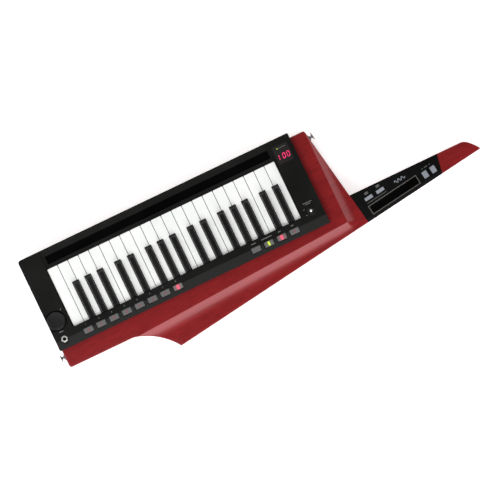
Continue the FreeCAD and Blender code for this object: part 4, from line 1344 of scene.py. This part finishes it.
@dataclass
class StrapPins(SubAssembly):
    """Two plated strap buttons with a felt-thin flange, a waist and a domed head."""

    height: float = 20.0
    left: Pair = (-406.5, -59.0)
    right_y: float = 104.0
    shoulder: Pair = (170.6, 0.1705)
    neck_y: float = -17.9

    def build(self) -> None:
        """Turns both pins about the axes of their screws."""
        profile = eased(
            [(0, -2), (1.9, -2), (1.9, 0.02), (6.0, 0.02), (6.0, 0.8), (4.4, 1.3), (2.9, 2.2), (2.6, 3.4),
             (2.8, 5.0), (4.4, 5.9), (6.9, 6.3), (7.5, 7.0), (7.3, 7.9), (5.0, 8.4), (0, 8.5)],
            0.6, steps=4,
        )
        foot, slope = self.shoulder
        right_x = foot - slope * (self.right_y - self.neck_y)
        outward = np.array([1.0, slope, 0.0]) / math.hypot(1.0, slope)
        pins = [
            revolved(profile, (*self.left, self.height), (-1, 0, 0)),
            revolved(profile, (right_x, self.right_y, self.height), outward),
        ]
        piece = make_piece("strap_buttons", join(pins), sharp_degrees=50)
        self.place(piece, "instrument", Finish.STEEL, ["strap_pins"])


@dataclass
class Neck(SubAssembly):
    """Black neck cover with its ribbon, buttons, emblem and printed marks."""

    turn: float = 7.9
    face: float = 30.0
    ribbon_middle: Pair = (242.75, -51.1)
    ribbon_size: Pair = (97.9, 14.6)
    frame_size: Pair = (101.0, 17.5)
    emblem: tuple[float, float, float] = (262.6, -30.5, 21.0)

    def ribbon(self) -> None:
        """The touch film, sunk in a thin raised frame."""
        x, y = self.ribbon_middle
        film = slab(self.ribbon_size, 0.5, (29.05, 29.5), 0.1, crown=0.08).turned(self.turn).moved(x, y)
        self.place(make_piece("short_ribbon_film", film), "instrument", Finish.FILM, ["short_ribbon"])
        self.place(make_piece("short_ribbon_frame", self.frame_loop()), "instrument", Finish.BEZEL)

    def frame_loop(self) -> Shell:
        """A rectangular frame: a small closed profile carried round a rectangle, offsetting its sides."""
        inner = np.array(self.ribbon_size) / 2
        wall = (np.array(self.frame_size) - np.array(self.ribbon_size)) / 2
        profile = eased(
            [(0, 29.05), (1, 29.05), (1, 30.25), (0.75, 30.4), (0.2, 30.4), (0, 30.2), (0, 29.05)], 0.08
        )
        corners = np.array([[1, 1], [-1, 1], [-1, -1], [1, -1]])
        plan = corners[None] * (inner + profile[:, :1, None] * wall)
        z = np.repeat(profile[:, 1, None], 4, axis=1)
        loop = looped(np.concatenate([plan, z[..., None]], axis=-1))
        return loop.turned(self.turn).moved(*self.ribbon_middle)

    def wave_emblem(self) -> Shell:
        """A plain wave line: a thin strip on y = height * sin(3 TAU s), with a square section."""
        x, y, length = self.emblem
        s = np.linspace(0, 1, 61)
        rise = 2.6 * np.sin(3 * TAU * s)
        slope = np.gradient(rise, s * length)
        normal = np.stack([-slope, np.ones_like(slope)], axis=1) / np.hypot(slope, 1)[:, None]
        line = np.stack([(s - 0.5) * length, rise], axis=1)
        section = np.array([(-0.6, -0.05), (0.6, -0.05), (0.6, 0.05), (-0.6, 0.05)])
        plan = line[:, None, :] + section[None, :, :1] * normal[:, None, :]
        z = np.repeat(self.face + section[None, :, 1], len(s), axis=0)
        points = np.concatenate([plan, z[..., None]], axis=-1).reshape(-1, 3)
        ends = np.array([[0, 1, 2, 3], [240, 241, 242, 243]])
        faces = np.concatenate([grid_faces(61, 4, True), ends])
        return Shell(points, faces).turned(self.turn).moved(x, y)

    def marks(self) -> None:
        """Bars over the buttons, a thin line under them, and the emblem."""
        bars = [
            (7.0, 1.2, 198.6, -26.0), (7.0, 1.2, 198.9, -28.3), (7.0, 1.2, 222.0, -23.0),
            (7.0, 1.2, 222.3, -25.3), (40.0, 0.6, 212.8, -42.0), (6.0, 1.1, 313.8, -29.8),
            (2.2, 1.1, 306.4, -31.0), (2.2, 1.1, 321.4, -28.8),
        ]
        prints = [flat_mark(w, d, x, y, self.face, self.turn) for w, d, x, y in bars]
        self.place(make_piece("neck_print", join(prints)), "instrument", Finish.INK)
        self.place(make_piece("neck_emblem", self.wave_emblem()), "instrument", Finish.SILVER_BUTTON)

    def build(self) -> None:
        """Builds the neck's pieces."""
        self.soften("neck_cover", "instrument", Finish.NECK, 0.5)
        self.ribbon()
        for pair, edge in (("ribbon_mode_buttons", 0.4), ("octave_buttons", 0.5)):
            self.soften(pair, pair, Finish.SILVER_BUTTON, edge)
        self.marks()


@dataclass
class BackAndInside(SubAssembly):
    """Back cover, battery door and cells, sockets, boards and screws."""

    cell_radius: float = 7.1
    cell_length: float = 50.5
    cell_z: float = 10.4

    def cells(self) -> None:
        """Six cells with crimped ends and a cap, and a coiled contact at each end of a row."""
        low, high = node_box("battery_cells")
        middle = (low + high) / 2
        start = middle[0] - 1.5 * self.cell_length
        r, length = self.cell_radius, self.cell_length - 1.4
        profile = eased(
            [(0, 0), (r - 1.2, 0), (r - 0.8, 0.4), (r, 0.5), (r, length - 0.6), (r - 1.0, length),
             (2.7, length), (2.7, length + 1.2), (0, length + 1.2)], 0.3,
        )
        rows = [middle[1] - 8.5, middle[1] + 8.5]
        cells = [
            revolved(profile, (start + i * self.cell_length, y, self.cell_z), (1, 0, 0), 48)
            for y in rows for i in range(3)
        ]
        piece = make_piece("battery_set", join(cells))
        self.place(piece, "instrument", Finish.BATTERY, ["battery_cells"])
        ends = [(low[0] + 0.1, start), (start + 3 * self.cell_length - 0.2, high[0] - 0.1)]
        coils = [self.coil(a, b, y) for y in rows for a, b in ends]
        self.place(make_piece("battery_contacts", join(coils)), "instrument", Finish.STEEL)

    def coil(self, low: float, high: float, y: float) -> Shell:
        """A contact coil: a round wire carried along x = low + t (high - low), angle = 3 TAU t."""
        t = np.linspace(0, 1, 61)
        wire, reach = 0.3, 3.4
        a = 3 * TAU * t
        line = np.stack([low + wire + t * (high - low - 2 * wire), y + reach * np.cos(a),
                         self.cell_z + reach * np.sin(a)], axis=1)
        out = np.stack([np.zeros_like(a), np.cos(a), np.sin(a)], axis=1)
        side = np.tile([1.0, 0.0, 0.0], (61, 1))
        b = (np.arange(6) * TAU / 6)[None, :, None]
        points = line[:, None] + wire * (np.cos(b) * out[:, None] + np.sin(b) * side[:, None])
        ends = np.array([[0, 1, 2, 3], [0, 3, 4, 5], [360, 361, 362, 363], [360, 363, 364, 365]])
        return Shell(points.reshape(-1, 3), np.concatenate([grid_faces(61, 6, True), ends]))

    def build(self) -> None:
        """Builds and finishes the pieces of the back and the inside."""
        self.soften("back_cover", "instrument", Finish.BACK, 0.35)
        self.soften("battery_door", "battery_door", Finish.BACK, 0.3)
        self.cells()
        self.soften("connector_plate", "instrument", Finish.CONNECTOR, 0.25)
        self.soften("power_switch", "power_switch", Finish.SWITCH, 0.2)
        self.keep("circuit_boards", Finish.BOARD)
        self.soften("case_screws", "instrument", Finish.SCREW, 0.15)


# -------------------------------------------------------------------------------- studio
@dataclass(frozen=True)
class Softbox:
    """A square soft light that faces the instrument."""

    azimuth: float
    elevation: float
    distance: float
    side: float
    watts: float


@dataclass
class Studio:
    """Pale floor, soft lights and the camera straight above."""

    view_turn: float = -25.55
    view_middle: Pair = (-0.0298, -0.0291)
    view_width: float = 0.884
    camera_height: float = 3.0
    world_light: float = 0.12
    floor_side: float = 16000.0
    floor_glow: float = 0.5
    boxes: tuple[Softbox, ...] = (
        Softbox(azimuth=-92, elevation=26.5, distance=1.7, side=1.4, watts=34),
        Softbox(azimuth=4, elevation=20, distance=1.2, side=0.7, watts=4.5),
        Softbox(azimuth=-135, elevation=46, distance=1.6, side=1.0, watts=7),
        Softbox(azimuth=95, elevation=44, distance=1.9, side=1.4, watts=14),
        Softbox(azimuth=185, elevation=44, distance=1.9, side=1.3, watts=12),
    )

    def floor(self) -> None:
        """A wide pale floor with a faint mottle, a hair below the instrument."""
        side = self.floor_side
        piece = make_piece("studio_floor", slab((side, side), 10, (-12.0, -0.6), 1.0))
        material = bpy.data.materials.new("studio_paper")
        material.use_nodes = True
        shader = material.node_tree.nodes["Principled BSDF"]
        sheet = NodeSheet(material.node_tree)
        place = sheet.add("ShaderNodeTexCoord").outputs["Object"]
        noise = sheet.add("ShaderNodeTexNoise", {"Vector": place, "Scale": 3.0})
        pale = [(0.3, (0.93, 0.93, 0.925, 1)), (0.7, (0.96, 0.96, 0.955, 1))]
        material.node_tree.links.new(sheet.ramp(noise.outputs["Fac"], pale), shader.inputs["Base Color"])
        set_inputs(shader, {
            "Roughness": 0.9, "Specular IOR Level": 0.1,
            "Emission Color": (1.0, 1.0, 1.0, 1.0), "Emission Strength": self.floor_glow,
        })
        piece.data.materials.append(material)

    def lights(self) -> None:
        """Softboxes round the instrument and an even, dim surrounding."""
        middle = Vector((*self.view_middle, 0.03))
        for number, box in enumerate(self.boxes):
            data = bpy.data.lights.new(f"softbox_{number}", "AREA")
            data.shape = "SQUARE"
            data.size = box.side
            data.energy = box.watts
            light = bpy.data.objects.new(data.name, data)
            bpy.context.scene.collection.objects.link(light)
            a, e = math.radians(box.azimuth), math.radians(box.elevation)
            way = Vector((math.cos(a) * math.cos(e), math.sin(a) * math.cos(e), math.sin(e)))
            light.location = middle + way * box.distance
            light.rotation_euler = (-way).to_track_quat("-Z", "Y").to_euler()
        world = bpy.data.worlds.new("studio_air")
        world.use_nodes = True
        air = {"Color": (1.0, 1.0, 1.0, 1.0), "Strength": self.world_light}
        set_inputs(world.node_tree.nodes["Background"], air)
        bpy.context.scene.world = world

    def camera(self) -> None:
        """A parallel view straight down on the front, turned so that the neck rises to the right."""
        data = bpy.data.cameras.new("view")
        data.type = "ORTHO"
        data.ortho_scale = self.view_width
        camera = bpy.data.objects.new("view", data)
        bpy.context.scene.collection.objects.link(camera)
        camera.location = (*self.view_middle, self.camera_height)
        camera.rotation_euler = (0.0, 0.0, math.radians(self.view_turn))
        bpy.context.scene.camera = camera
        bpy.context.scene.view_settings.view_transform = "Standard"

    def build(self) -> None:
        """Sets up the studio."""
        self.floor()
        self.lights()
        self.camera()


def write_sizes() -> None:
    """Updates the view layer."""
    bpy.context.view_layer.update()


def main() -> None:
    """Builds the studio, then every sub-assembly in order."""
    logging.basicConfig(level=logging.INFO, format="%(name)s: %(message)s")
    Studio().build()
    book = FinishBook()
    for kind in (WoodenBody, FrontPanel, Keyboard, ButtonRows, PanelHardware, StrapPins, Neck, BackAndInside):
        kind(book).build()
    write_sizes()


if __name__ == "__main__":
    main()
